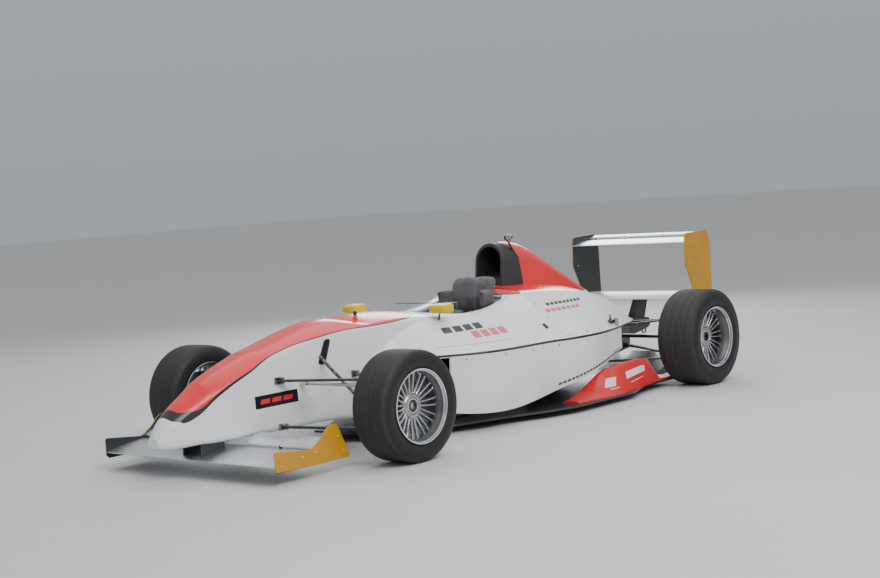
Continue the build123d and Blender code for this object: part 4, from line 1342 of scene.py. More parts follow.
def duct_liners():
    """Inner skins of the pods' ducts, near black as painted shade inside the ducts."""
    half, piece = Build().use("void"), Build()
    rings = []
    for x in steps_between(*DUCT, 8):
        y_top, y_low, z_low, y_in, z_in = row_at(POD, x)
        rings.append([place(x, *p) for p in (
            (y_in + 12, z_in - 14), (y_top - DUCT_WALL, shut_line(x) - 7),
            (y_low - DUCT_WALL, z_low + DUCT_WALL), (y_in + 12, z_low + DUCT_WALL))])
    half.sweep(rings + rings[::-1][1:], caps=False)
    piece.both(half)
    piece.piece("duct_liners", "root", "carbon")


def fairings():
    """Rising fairings on the floor ahead of the rear wheels, with flat tails."""
    half, piece = Build().use("fairing"), Build()
    rings = []
    stations = steps_between(FAIRING[0][0], -2380, 40) + [-2390, -2400, -2408, -2413, FAIRING[-1][0]]
    for x in stations:
        y_in, y_ridge, z_ridge, y_edge = row_at(FAIRING, x)
        lip = FLOOR_TOP + 9
        z_ridge = max(z_ridge, lip + 2)
        bulge = ((y_ridge + y_edge) / 2 + 4, (z_ridge + lip) / 2 + 4)
        slope = arc_through((y_edge, lip), bulge, (y_ridge, z_ridge), 12)
        z_in = max(lip, z_ridge - FAIRING_FALL)
        soft = [(y_ridge - 5, z_ridge + 1.2), (y_ridge - 14, z_ridge - 1), (y_in + 6, z_in + 4), (y_in, z_in)]
        rings.append([place(x, *p) for p in [(y_in, FLOOR_TOP), (y_edge, FLOOR_TOP)] + slope + soft])
    half.sweep(rings)
    y_in, y_edge = FAIRING[-1][1], FAIRING[-1][4]
    end = FAIRING[-1][0] + 8
    tail = rounded([(end, y_in), (FAIRING_TAIL, y_in), (FAIRING_TAIL, y_edge), (end, y_edge)], 10)
    half.sweep([[place(x, y, z) for x, y in tail] for z in (FLOOR_TOP, FLOOR_TOP + TAIL_HEIGHT)])
    piece.both(half)
    piece.piece("floor_ramps", "root", "red_paint", ("floor_fairings",), bevel=0.003, smooth=50)


def wing_outline(element, count=18):
    """Section of a wing element with a round nose and a thin tail."""
    (x_lead, z_lead), (x_trail, z_trail), over, under = element
    upper, lower = [], []
    for i in range(count + 1):
        s = (i / count) ** WING_SPACING
        ahead = min(s / WING_NOSE_SHARE, 1)
        nose = WING_NOSE * math.sqrt(max(0.0, 1 - (1 - ahead) ** 2)) * (1 - s) + WING_TAIL * ahead * s
        x, z = x_lead + (x_trail - x_lead) * s, z_lead + (z_trail - z_lead) * s
        upper.append((x, z + 4 * over * s * (1 - s) + nose))
        lower.append((x, z + 4 * under * s * (1 - s) - nose))
    return upper + lower[::-1][:-1]


def span_of(build, outline, y_from, y_to, cuts=1):
    """Runs a side outline across the car."""
    build.sweep([[place(x, y, z) for x, z in outline] for y in steps_between(y_from, y_to, cuts)])


def wings():
    """Front wing with its hangers and split flap, and the rear and beam wings."""
    front = Build().use("wing")
    span_of(front, wing_outline(FRONT_PLANE), -FRONT_SPAN, FRONT_SPAN, 12)
    for sign in (1, -1):
        reach = (sign * FLAP_START, sign * FRONT_SPAN)
        span_of(front, wing_outline(FRONT_FLAP), *reach, 6)
        span_of(front, moved(FLAP_STRIP, *FRONT_FLAP[1]), *reach)
        front.use("carbon_side")
        span_of(front, HANGER, *(sign * y for y in HANGER_Y))
        for x in TAB_STATIONS:
            span_of(front, moved(FLAP_TAB, x, 0), *(sign * y for y in TAB_Y))
        front.use("bright")
        for x, y, height in WING_BOLTS:
            front.bolt(place(x, sign * y, height), (0, 0, 1), 0.006, 0.004)
        front.use("wing")
    front.piece("front_wing_planes", "root", "wing_alloy", ("front_wing",), smooth=30)
    rear = Build()
    for finish, outline, cuts in (
            ("wing", wing_outline(REAR_PLANE), 10), ("wing", wing_outline(REAR_FLAP), 10),
            ("wing", moved(REAR_STRIP, *REAR_FLAP[1]), 1), ("beam", wing_outline(BEAM_PLANE), 10)):
        span_of(rear.use(finish), outline, -REAR_SPAN, REAR_SPAN, cuts)
    rear.use("wing")
    for y in (-BRACKET_Y, BRACKET_Y):
        span_of(rear, REAR_BRACKET, y - 2, y + 2)
    rear.piece("rear_wing_planes", "root", "wing_alloy", ("rear_planes",), smooth=30)


def endplates():
    """Yellow endplates with rounded corners, their bolts and lower foot strips."""
    for name, outline, y_in, radius, bolts in ENDPLATES:
        half, piece = Build().use("plate"), Build()
        span_of(half, rounded(outline, radius), y_in, y_in + PLATE)
        half.use("bright")
        for x, z in bolts:
            half.bolt(place(x, y_in + PLATE - 2, z), (0, 1, 0), 0.0062, 0.0052)
            half.bolt(place(x, y_in + 1, z), (0, -1, 0), 0.005, 0.005)
        half.use("carbon_side")
        if outline is FRONT_PLATE:
            span_of(half, PLATE_FOOT, y_in - 9, y_in - 0.2)
        piece.both(half)
        piece.piece("painted_" + name, "root", "yellow_paint", (name,), bevel=0.0007, smooth=40)


# Cockpit and small parts, in stations and millimetres
PAD_BACK, PAD_FRONT, PAD_HALF, PAD_TOP = -1500, -1390, 142, 756
PAD_EAR = -1318
PAD_LEVELS = ((575, 0.9), (590, 0.97), (650, 1.0), (PAD_TOP - 30, 0.97), (PAD_TOP - 10, 0.9), (PAD_TOP, 0.78))
PAD_WAIST, PAD_LEAN, HOLLOW_HALF = 650, 40, 75
EAR_PLAN = (
    (PAD_FRONT - 40, 118), (PAD_FRONT - 40, 152), (PAD_EAR + 20, 166), (PAD_EAR, 160), (PAD_EAR, 146),
    (PAD_FRONT, 112),
)
EAR_LEVELS = ((596, 4), (612, 0), (672, 0), (690, 6))
SEAM_DROPS, SEAM_PITCH, SEAM_STITCH = (52, 118), 9, 5
SEAT_RAKE = -26
BUCKLE = (-1165, 0, 176)

# Straps on the left: shoulder, lap and crotch, each from its anchor to the buckle, and the way it lies
STRAPS = (
    (((-1448, 62, 600), (-1414, 62, 530), (-1356, 60, 458), (-1303, 56, 372), (-1256, 48, 290),
      (-1207, 30, 226), (BUCKLE[0], 6, BUCKLE[2])), (1, 0, 0.2)),
    (((-1255, 196, 150), (-1222, 150, 165), (-1190, 80, 172), (BUCKLE[0], 8, BUCKLE[2])), (0, 0, 1)),
    (((-1000, 34, 128), (-1060, 26, 136), (-1120, 14, 152), (BUCKLE[0], 0, BUCKLE[2] - 4)), (1, 0, 0.2)),
)
HEAD_X, HEAD_RADIUS = -1270, 132
WHEEL_PLACE, WHEEL_RAKE = (-985, 0, 470), 15
WHEEL_RADIUS, GRIP_RADIUS, WHEEL_FLAT = 118, 13.6, 88
CAMERA_AT = (-1690, 80, 966)
SCREEN_LOW, SCREEN_TOP = (-1147, 309), (-1165, 276, 666)
SCREEN_BACK, SCREEN_WALL = -985, 4
KINGPIN = (0, 690)
FRONT_ARM_FEET = ((241, 150, 402), (-234, 200, 376), (246, 150, 176), (-234, 200, 150))
FRONT_ARM_OUT = (392, 392, 150, 150)
REAR_AXLE = -2650
REAR_ARM_FEET = ((-2380, 90, 352), (-2760, 60, 350), (-2380, 90, 150), (-2800, 60, 210))
DRIVE_SHAFT = (113, 615, 13, 36, 46)
TAIL_LAMP = (-3141, 76, 48, 318)

# Steering wheel in millimetres, seen from its front: down from the hub, and across
WHEEL_PANEL = ((78, -56), (52, -66), (-38, -82), (-52, -66), (-52, 66), (-38, 82), (52, 66), (78, 56))
WHEEL_SPOKE = ((-22, 70), (14, 70), (8, 112), (-16, 112))
WHEEL_PADDLE = ((-26, 50), (22, 50), (16, 104), (-14, 108))
WHEEL_DISPLAY = ((-40, -34), (-40, 34), (-10, 34), (-10, -34))
WHEEL_BUTTONS = (
    (2, -48, "red_knob"), (2, 48, "green_knob"), (30, -44, "gloss_black"), (30, 44, "gloss_black"),
    (-36, -54, "blue_knob"), (-36, 54, "mirror"),
)
WHEEL_ROTARIES = ((14, -16), (14, 16), (46, 0))
GRIP_SIDES, HUB_BOLTS, HUB_GROOVES = 16, 6, 5

# Instrument panel in metres: dials, lamps, switches
PANEL_STATION = -850.2
DIAL_PLACES, DIAL_RADIUS, DIAL_MARKS = ((-0.135, 0.548), (0.135, 0.548)), 0.029, 11
DIAL_RING = ((0, -0.004), (-0.004, -0.004), (-0.006, -0.001), (-0.004, 0.001), (0, 0.001))
LAMPS = ("green_knob", "green_knob", "mirror", "mirror", "red_knob", "red_knob")
LAMP_START, LAMP_PITCH, LAMP_HEIGHT = -0.05, 0.02, 0.592
SWITCHES, SWITCH_HEIGHT = (-0.215, -0.215 + 0.022, 0.193, 0.193 + 0.022), 0.49

# Camera body: offset along its axis and radius
CAMERA_TILT = (1, 0, -0.06)
CAMERA_PROFILE = (
    (-0.03, 0.0), (-0.03, 0.009), (-0.024, 0.0145), (-0.006, 0.0175), (0.014, 0.0175), (0.021, 0.016),
    (0.024, 0.013), (0.0225, 0.012), (0.017, 0.0115), (0.0165, 0.0),
)
CAMERA_CLAMP = ((-0.004, 0.0172), (-0.004, 0.0196), (0.006, 0.0196), (0.006, 0.0172))
CAMERA_STALK = ((0.001, 0, -0.024), (-0.006, 0.004, -0.045), (-0.022, 0.01, -0.075), (-0.032, 0.016, -0.098))

# Screws and openings on the skin
PUSH_ROD_SLOT = ((-95, 566), (-62, 566), (-12, 452), (-52, 446))
COVER_LATCH = ((-1452, 468), (-1430, 468), (-1434, 492), (-1450, 492))
FASTENER = (
    (-0.001, 0.0), (-0.001, 0.0062), (0.0012, 0.0058), (0.0018, 0.005), (0.0018, 0.0016),
    (0.0006, 0.0012), (0.0006, 0.0),
)
POD_FASTENERS = (-720, -960, -1200, -1440, -1680, -1920, -2140)

# Rear: outer heights of the arms, damper ends, coil, cooling scoops and case bolts
REAR_ARM_OUT = (400, 400, 160, 160)
REAR_KINGPIN_Y = 618
DAMPER = ((-2405, 95, 425), (-2180, 62, 402))
COIL_TURNS, COIL_SIDES, COIL_RADIUS = 7, 16, 0.026
BOOT_FOLDS = 4
SCOOP_HALF = (0.028, 0.045)
SCOOP_RINGS = (((-2560, 600, 300), 1.0), ((-2590, 606, 300), 0.8), ((-2612, 618, 298), 0.62))
CASE_BOLTS = (-2310, -2330)


def on_skin(nodes, start, direction):
    """Point and normal where a ray first meets any of these objects."""
    start, direction = Vector(start), Vector(direction).normalized()
    best = None
    for thing in nodes:
        hit, point, normal, _ = thing.ray_cast(start, direction)
        if hit and (best is None or (point - start).length < (best[0] - start).length):
            best = (point, normal)
    return best


CLOTH_FRAMES = 14


def soft(build, name, slot, replaces=(), fill=0.7, voxel=0.005, limit=0.007, pressure=4.0):
    """Foam pad: the gathered blocks joined by a remesh and swelled a little under cloth."""
    keep = bpy.context.scene.frame_current
    finish = build.finishes[0]
    bmesh.ops.recalc_face_normals(build.mesh, faces=build.mesh.faces)
    data = bpy.data.meshes.new(name)
    build.mesh.to_mesh(data)
    build.mesh.free()
    thing = linked(name, data)
    remesh = thing.modifiers.new("remesh", "REMESH")
    remesh.mode, remesh.voxel_size, remesh.use_smooth_shade = "VOXEL", voxel, True
    relax = thing.modifiers.new("relax", "SMOOTH")
    relax.iterations, relax.factor = 6, 0.5
    freeze(thing)
    before = [v.co.copy() for v in thing.data.vertices]
    cloth = thing.modifiers.new("cloth", "CLOTH")
    cloth.settings.use_pressure = True
    cloth.settings.uniform_pressure_force = pressure
    cloth.settings.effector_weights.gravity = 0
    for frame_number in range(1, CLOTH_FRAMES + 1):
        bpy.context.scene.frame_set(frame_number)
    freeze(thing)
    bpy.context.scene.frame_set(keep)
    for vert, old in zip(thing.data.vertices, before):
        moved = vert.co - old
        if moved.length > limit:
            vert.co = old + moved.normalized() * limit
    thing.data.materials.clear()
    thing.data.materials.append(MATERIALS[finish])
    thing.data.polygons.foreach_set("use_smooth", [True] * len(thing.data.polygons))
    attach(thing, "root")
    if replaces:
        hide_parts(*replaces)
    return thing


def freeze(thing):
    """Applies a piece's modifiers to its mesh."""
    graph = bpy.context.evaluated_depsgraph_get()
    made = bpy.data.meshes.new_from_object(thing.evaluated_get(graph))
    thing.modifiers.clear()
    thing.data = made


def head_pad():
    """Padding behind the seat, hollowed in front, with an ear on each side."""
    build = Build().use("pad")
    hollow = [(HEAD_X + HEAD_RADIUS * math.cos(a), HEAD_RADIUS * math.sin(a))
              for a in steps_between(math.radians(152), math.radians(208), 8)]
    rear = PAD_BACK + PAD_LEAN
    plan = [(rear, PAD_HALF), (rear, -PAD_HALF), (PAD_FRONT, -PAD_HALF), (PAD_FRONT, -HOLLOW_HALF)]
    plan += hollow[::-1] + [(PAD_FRONT, HOLLOW_HALF), (PAD_FRONT, PAD_HALF)]
    centre = (PAD_BACK + PAD_FRONT) / 2
    rings = []
    for z, share in PAD_LEVELS:
        back = -PAD_LEAN * max(0, (z - PAD_WAIST) / (PAD_TOP - PAD_WAIST))
        rings.append([place(centre + (x - centre) * share + back, y * share, z) for x, y in plan])
    build.sweep(rings)
    for sign in (1, -1):
        build.sweep([[place(x, sign * (y - inset), z) for x, y in EAR_PLAN] for z, inset in EAR_LEVELS])
    soft(build, "head_pad", "foam_black", ("headrest",), 0.8)
    seams = Build().use("stitch")
    for drop in SEAM_DROPS:
        for y in (PAD_HALF + 0.6, -PAD_HALF - 0.6):
            for x in range(PAD_BACK + 8, PAD_FRONT, SEAM_PITCH):
                start, finish = (place(at, y, PAD_TOP - drop) for at in (x, x + SEAM_STITCH))
                seams.cylinder(start, finish, 0.0008, 6)
    seams.piece("pad_stitching", "root", "foam_black")


def seat_pads():
    """Cushions on the seat's base and back, and the six point harness over them."""
    turn = Matrix.Rotation(math.radians(SEAT_RAKE), 3, "Y")
    for name, spot, size, rake in (("seat_base_pad", (-1040, 0, 112), (0.34, 0.3, 0.02), None),
                                   ("seat_back_pad", (-1312, 0, 300), (0.02, 0.3, 0.33), turn)):
        pad = Build().use("seat_cloth")
        pad.box(place(*spot), size, rake)
        soft(pad, name, "seat_shell", fill=0.6)
    straps = Build()
    for sign in (1, -1):
        straps.use("webbing")
        for path, level in STRAPS:
            straps.tube([place(x, sign * y, z) for x, y, z in path], 0.022, 10, flat=0.07, level=level)
        straps.use("bright")
        straps.box(place(-1315, sign * 57, 392), (0.012, 0.05, 0.03), turn)
    x, y, z = BUCKLE
    straps.cylinder(place(x, y, z - 6), place(x + 6, y, z + 14), 0.03, 28, chamfer=0.003)
    straps.use("red_knob")
    straps.cylinder(place(x + 6, y, z + 14), place(x + 8, y, z + 20), 0.017, 24, chamfer=0.002)
    straps.piece("harness", "root", "foam_black", smooth=50)


def steering_wheel():
    """Flat bottomed wheel with grips, a plain panel with knobs and buttons, paddles and quick release."""
    build = Build().use("grip")
    flat_angle = math.acos(WHEEL_FLAT / WHEEL_RADIUS)
    line = [(WHEEL_RADIUS * math.cos(a), WHEEL_RADIUS * math.sin(a))
            for a in steps_between(flat_angle, math.tau - flat_angle, 72)]
    line += [(WHEEL_FLAT, y) for y in steps_between(-70, 70, 8)]
    rings = []
    for i, (a, b) in enumerate(line):
        before, after = line[i - 1], line[(i + 1) % len(line)]
        ahead = Vector((after[0] - before[0], after[1] - before[1], 0)).normalized()
        out = Vector((ahead.y, -ahead.x, 0))
        thick = GRIP_RADIUS * (1 + 0.12 * swell(abs(math.atan2(b, a)), math.pi / 2, 0.5))
        rings.append(circle(Vector((a, b, 0)), out * thick * 0.92, Vector((0, 0, 1)) * thick, GRIP_SIDES))
    build.sweep(rings, True, True)
    build.use("carbon_front").plate(rounded(WHEEL_PANEL, 12), (-12, 10))
    for sign in (1, -1):
        build.plate(rounded([(a, sign * b) for a, b in WHEEL_SPOKE], 6), (-7, 5))
    build.use("display").plate(rounded(WHEEL_DISPLAY, 4), (-14.2, -11))
    for a, b, finish in WHEEL_BUTTONS:
        build.use(finish).cylinder(Vector((a, b, -11)), Vector((a, b, -19)), 6.5, 20, chamfer=1.2)
    for finish, low, high, radius, sides in (("bright", -11, -15, 11, 24),
                                             ("gloss_black", -14, -24, 7.5, 18)):
        build.use(finish)
        for a, b in WHEEL_ROTARIES:
            build.cylinder(Vector((a, b, low)), Vector((a, b, high)), radius, sides, chamfer=1.5)
            if finish == "gloss_black":
                build.box(Vector((a - 5, b, -24.5)), (5, 1.4, 1.2))
    build.use("alloy")
    for k in range(HUB_BOLTS):
        angle = math.tau * k / HUB_BOLTS + 0.3
        a, b = 22 + 24 * math.cos(angle), 24 * math.sin(angle)
        build.cylinder(Vector((a, b, 9)), Vector((a, b, 14)), 3.2, 10)
    for sign in (1, -1):
        build.plate(rounded([(a, sign * b) for a, b in WHEEL_PADDLE], 7), (17, 20))
    centre = place(*WHEEL_PLACE)
    rake = Matrix.Rotation(math.radians(90 + WHEEL_RAKE), 4, "Y")
    turn = Matrix.Translation(centre) @ rake @ Matrix.Scale(0.001, 4)
    bmesh.ops.transform(build.mesh, matrix=turn, verts=build.mesh.verts)
    build.use("bright")
    axis = rake.to_3x3() @ Vector((0, 0, 1))
    build.cylinder(centre + axis * 0.008, centre + axis * 0.03, 0.034, 28, chamfer=0.003)
    build.cylinder(centre + axis * 0.03, centre + axis * 0.17, 0.0137, 24, chamfer=0.001)
    for k in range(HUB_GROOVES):
        start, finish = 0.045 + 0.006 * k, 0.0482 + 0.006 * k
        build.cylinder(centre + axis * start, centre + axis * finish, 0.0175, 24, chamfer=0.0008)
    build.piece("wheel_with_grips", "steering_wheel", "grip_black", ("steering_wheel",), smooth=45)


def dashboard_details():
    """Plain round dials, warning lamps and switches on the instrument panel."""
    build = Build()
    face = place(PANEL_STATION, 0, 0).x
    for y, z in DIAL_PLACES:
        build.use("bright").lathe(moved(DIAL_RING, 0, DIAL_RADIUS), (face, y, z), (1, 0, 0), 40)
        build.use("gloss_black").cylinder((face, y, z), (face - 0.002, y, z), DIAL_RADIUS - 0.004, 32)
        build.use("mark")
        for k in range(DIAL_MARKS):
            angle = math.radians(-130 + 26 * k)
            out = Vector((0, math.sin(angle), math.cos(angle)))
            turn = Matrix.Rotation(-angle, 3, "X")
            spot = Vector((face - 0.0022, y, z)) + out * (DIAL_RADIUS - 0.0085)
            build.box(spot, (0.0006, 0.0012, 0.005), turn)
        needle = Vector((face - 0.0026, y, z)) + Vector((0, -0.006, 0.005))
        build.box(needle, (0.0006, 0.0016, 0.02), Matrix.Rotation(0.8, 3, "X"))
    for k, finish in enumerate(LAMPS):
        y = LAMP_START + LAMP_PITCH * k
        build.use(finish)
        build.cylinder((face, y, LAMP_HEIGHT), (face - 0.006, y, LAMP_HEIGHT), 0.0045, 14, chamfer=0.0012)
    build.use("bright")
    for y in SWITCHES:
        build.cylinder((face, y, SWITCH_HEIGHT), (face - 0.006, y, SWITCH_HEIGHT), 0.007, 6)
        tip = (face - 0.024, y, SWITCH_HEIGHT + 0.007)
        build.cylinder((face - 0.006, y, SWITCH_HEIGHT), tip, 0.0022, 10, 0.0032)
    build.piece("panel_instruments", "root", "carbon")


def screen():
    """Low wrapped screen on the cowl, leaning back, with a dark edge strip and small screws."""
    tub = frame_nodes("monocoque")
    build = Build().use("screen")
    lower, upper = [], []
    (x_low, r_low), (x_top, r_top, z_top) = SCREEN_LOW, SCREEN_TOP
    reach = math.acos((SCREEN_BACK - x_low) / r_low)
    for a in steps_between(-reach, reach, 40):
        foot = place(x_low + (r_low - 4) * math.cos(a), (r_low - 4) * math.sin(a), 900)
        met = on_skin(tub, foot, (0, 0, -1))
        height = met[0].z * 1000 if met and met[0].z > 0.56 else 600
        fade = max(0.35, math.cos(a * 0.72))
        head = z_top - (1 - fade) * 34
        share = (head - 560) / (z_top - 560)
        radius, centre = r_low + (r_top - r_low) * share, x_low + (x_top - x_low) * share
        lower.append((place(x_low + (r_low - 4) * math.cos(a), (r_low - 4) * math.sin(a), height), a))
        upper.append((place(centre + radius * math.cos(a), radius * math.sin(a), head), a))
    thin = SCREEN_WALL / 1000
    rings = []
    for (foot, a), (head, _) in zip(lower, upper):
        out = Vector((math.cos(a), math.sin(a), 0)) * thin
        rings.append([foot, head, head - out, foot - out])
    build.sweep(rings)
    build.use("gloss_black")
    build.tube([head for head, _ in upper[::2]], 0.0026, 8)
    build.use("bright")
    for (foot, a), (head, _) in list(zip(lower, upper))[3:-2:7]:
        out = Vector((math.cos(a), math.sin(a), 0))
        build.cylinder(foot.lerp(head, 0.16), foot.lerp(head, 0.16) + out * 0.0025, 0.004, 12, chamfer=0.0008)
    build.piece("cowl_screen", "root", "screen_clear", ("windscreen",), smooth=40)


def hoop_camera():
    """Small round camera facing ahead on a stalk, in a silver clamp."""
    build = Build().use("gloss_black")
    centre = place(*CAMERA_AT)
    build.lathe(CAMERA_PROFILE, centre, CAMERA_TILT, 36, False)
    build.use("glass").ball(centre + Vector((0.0168, 0, -0.001)), 0.0095, (0.45, 1, 1))
    build.use("bright").lathe(CAMERA_CLAMP, centre, CAMERA_TILT, 32)
    build.box(centre + Vector((0.001, 0, -0.022)), (0.011, 0.012, 0.012))
    pin = [centre + Vector((0.001, y, -0.022)) for y in (-0.011, 0.011)]
    build.cylinder(*pin, 0.0042, 14, chamfer=0.0008)
    build.box(centre + Vector((0.022, 0.016, 0.002)), (0.03, 0.004, 0.026))
    build.use("arm").tube([centre + Vector(step) for step in CAMERA_STALK], 0.0065, 12)
    build.ball(centre + Vector((-0.032, 0.016, -0.1)), 0.012, (1, 0.6, 1))
    build.piece("intake_camera", "root", "camera_black", ("hoop_camera",), smooth=45)


def raised(height):
    """Step straight up."""
    return Vector((0, 0, height))


def pin_through(build, spot, low, high, radius, nut_low, nut_high, nut_radius):
    """Upright pin with a nut at its top, its heights measured from a joint's middle."""
    build.use("bright").cylinder(spot + raised(low), spot + raised(high), radius, 12)
    build.cylinder(spot + raised(nut_low), spot + raised(nut_high), nut_radius, 6, chamfer=0.0008)


def rod_end(build, place_at, direction, size=0.011):
    """Spherical rod end with its lock nut, on the end of an arm."""
    direction = Vector(direction).normalized()
    build.use("arm")
    build.lathe(((-0.006, size * 0.62), (-0.006, size * 1.15), (0.006, size * 1.15), (0.006, size * 0.62)),
                place_at, (0, 0, 1), 20)
    build.use("bright")
    build.ball(place_at, size * 0.74, rows=8, columns=14)
    neck, nut, end = (place_at + direction * size * reach for reach in (1.1, 2.8, 3.7))
    build.cylinder(neck, nut, size * 0.55, 14)
    build.cylinder(nut, end, size * 0.95, 6, chamfer=0.0008)


def suspension_details():
    """Rod ends, clevises and bolts where the front and rear arms meet the tub and the gearbox."""
    tub = frame_nodes("monocoque", "nose_cone")
    gearbox = frame_nodes("gearbox")
    half, piece = Build(), Build()
    for (x, y, z), z_out in zip(FRONT_ARM_FEET, FRONT_ARM_OUT):
        foot, out = place(x, y, z), place(*KINGPIN, z_out)
        away = (foot - out).normalized()
        met = on_skin(tub, out, away)
        if met is None:
            continue
        spot = met[0] - away * 0.024
        rod_end(half, spot, -away)
        half.use("alloy" if z < 200 else "arm")
        for lift in (0.0105, -0.0105):
            between = (spot + raised(lift) + met[0] + raised(lift)) / 2
            half.box(between + Vector((0, -0.003, 0)), (0.026, 0.038, 0.004))
        half.box(met[0] + Vector((0, 0.0015, 0)), (0.05, 0.006, 0.034))
        pin_through(half, spot, -0.0175, 0.0165, 0.0042, 0.0125, 0.0185, 0.0082)
        for dx in (-0.019, 0.019):
            half.bolt(met[0] + Vector((dx, 0.003, 0)), (0, 1, 0), 0.0042, 0.005)
    for (x, y, z), z_out in zip(REAR_ARM_FEET, REAR_ARM_OUT):
        foot, out = place(x, y, z), place(REAR_AXLE, REAR_KINGPIN_Y, z_out)
        away = (foot - out).normalized()
        met = on_skin(gearbox, out, away)
        spot = (met[0] if met else foot) - away * 0.026
        rod_end(half, spot, -away)
        half.use("cast")
        for lift in (0.0105, -0.0105):
            half.box(spot + away * 0.014 + raised(lift), (0.034, 0.03, 0.005))
        pin_through(half, spot, -0.017, 0.017, 0.005, 0.013, 0.019, 0.0085)
    piece.both(half)
    piece.piece("arm_ends", "root", "arm_black", smooth=40)


def slot_and_latches():
    """Push rod slots on the tub drawn near black as painted shade of the openings, cover latches, fasteners
    along the seams and a knob on the cowl.
    """
    tub = frame_nodes("monocoque")
    shell = frame_nodes("nose_cone", "monocoque", "side_pod_left") + [bpy.data.objects["cover_shell"]]
    # each slot is a near black patch on the skin: painted shade of the opening
    half, piece = Build().use("void"), Build()
    slot = rounded(PUSH_ROD_SLOT, 12)
    half.sweep([[skin_point(tub, x, z, lift) for x, z in slot] for lift in (-0.002, 0.0016)])
    rim_line = [skin_point(tub, x, z, 0.0012) for x, z in slot]
    half.use("black").tube(rim_line + rim_line[:1], 0.0028, 8, smooth=False)
    latch = rounded(COVER_LATCH, 5)
    half.use("gloss_black")
    half.sweep([[skin_point(shell, x, z, lift) for x, z in latch] for lift in (-0.002, 0.006)])
    half.use("bright")
    fixings = [(x, shut_line(x) + 22) for x in range(-1560, -2560, -160)]
    fixings += [(-1512, z) for z in (440, 520, 600)]
    fixings += [(x, shut_line(x) - 24) for x in POD_FASTENERS]
    for x, z in fixings:
        met = on_skin(shell, place(x, SKIN_START, z), (0, -1, 0))
        if met:
            half.lathe(FASTENER, met[0], met[1], 16, False)
    half.use("black")
    spot, out = on_skin(shell, place(-2110, 1000, 428), (0, -1, 0))
    half.box(spot + out * 0.006, (0.05, 0.022, 0.018))
    half.cylinder(spot + out * 0.01 + Vector((0.01, 0, 0)), spot + out * 0.012 + Vector((0.012, 0, 0.042)),
                  0.006, 12, 0.004)
    half.cylinder(spot, spot + out * 0.028 + Vector((0.03, 0, -0.004)), 0.012, 16, chamfer=0.002)
    half.use("tan").box(spot + Vector((-0.05, 0.006, -0.004)), (0.026, 0.016, 0.05))
    piece.both(half)
    base = on_skin(tub, place(-398, 70, 900), (0, 0, -1))[0]
    piece.use("red").cylinder(base - raised(0.002), base + raised(0.02), 0.012, 20, 0.009, chamfer=0.002)
    piece.use("gloss_black").ball(base + raised(0.03), 0.0125, (0.9, 0.9, 1.1))
    piece.piece("seam_fasteners", "root", "arm_black", smooth=40)


def skin_point(nodes, x, z, lift):
    """Point on the left side of the body at a station and height, raised by lift."""
    met = on_skin(nodes, place(x, SKIN_START, z), (0, -1, 0))
    return met[0] + met[1] * lift


def drive_shafts():
    """Drive shafts with a folded boot at each end, turning with the rear wheels."""
    y_in, y_out, shaft, boot, length = (v / 1000 for v in DRIVE_SHAFT)
    centre = Vector((station(REAR_AXLE), 0, wheel_sizes("rear")[0].z))
    profile = [(0.0, shaft), (0.0, boot), (length * 0.35, boot)]
    for k in range(BOOT_FOLDS):
        profile += [(length * (0.4 + 0.13 * k), boot * (0.92 - 0.13 * k)),
                    (length * (0.46 + 0.13 * k), boot * (0.78 - 0.13 * k))]
    profile += [(length * 0.98, shaft)]
    for side, sign in SIDES:
        build = Build().use("bright")
        build.cylinder(centre + Vector((0, sign * y_in, 0)), centre + Vector((0, sign * y_out, 0)), shaft, 24)
        build.use("boot")
        for start, toward in ((y_in, 1), (y_out, -1)):
            build.lathe(profile, centre + Vector((0, sign * start, 0)), (0, sign * toward, 0), 40, False)
        build.piece(f"drive_shaft_{side}", f"wheel_rear_{side}", "bright_steel", origin=centre, smooth=40)


def tail_lamp():
    """Red lens in a dark case on the crash structure."""
    build = Build().use("lamp")
    _, wide, tall, z = (v / 1000 for v in TAIL_LAMP)
    x = station(TAIL_LAMP[0])
    lens = rounded(oblong(wide / 2, tall / 2), 0.006)
    steps = ((0.0, 1), (0.006, 1), (0.009, 0.93))
    build.sweep([[Vector((x - d, a * s, z + b * s)) for a, b in lens] for d, s in steps])
    build.use("black")
    build.sweep([[Vector((x + d, a * 1.08, z + b * 1.12)) for a, b in lens] for d in (0.0, 0.004)])
    build.piece("tail_lamp", "root", "red_paint")


def damper(build):
    """Rear damper with its coil spring, spring seats and end joints."""
    foot, head = (place(*end) for end in DAMPER)
    axis = (head - foot).normalized()
    build.use("alloy").cylinder(foot, foot + axis * 0.09, 0.0165, 24, chamfer=0.002)
    build.use("bright").cylinder(foot + axis * 0.08, head, 0.0062, 14)
    across, other = square_to(axis)
    count, reach = COIL_TURNS * COIL_SIDES, (head - foot).length - 0.03
    coil = []
    for i in range(count + 1):
        angle = math.tau * i / COIL_SIDES
        out = (across * math.cos(angle) + other * math.sin(angle)) * COIL_RADIUS
        coil.append(foot + axis * (0.02 + (reach - 0.02) * i / count) + out)
    build.use("spring").tube(coil, 0.0042, 8, smooth=False)
    build.use("alloy")
    for start, finish in ((0.012, 0.018), (reach, reach + 0.006)):
        build.cylinder(foot + axis * start, foot + axis * finish, 0.031, 28)
    build.ball(foot, 0.011)
    build.ball(head, 0.011)


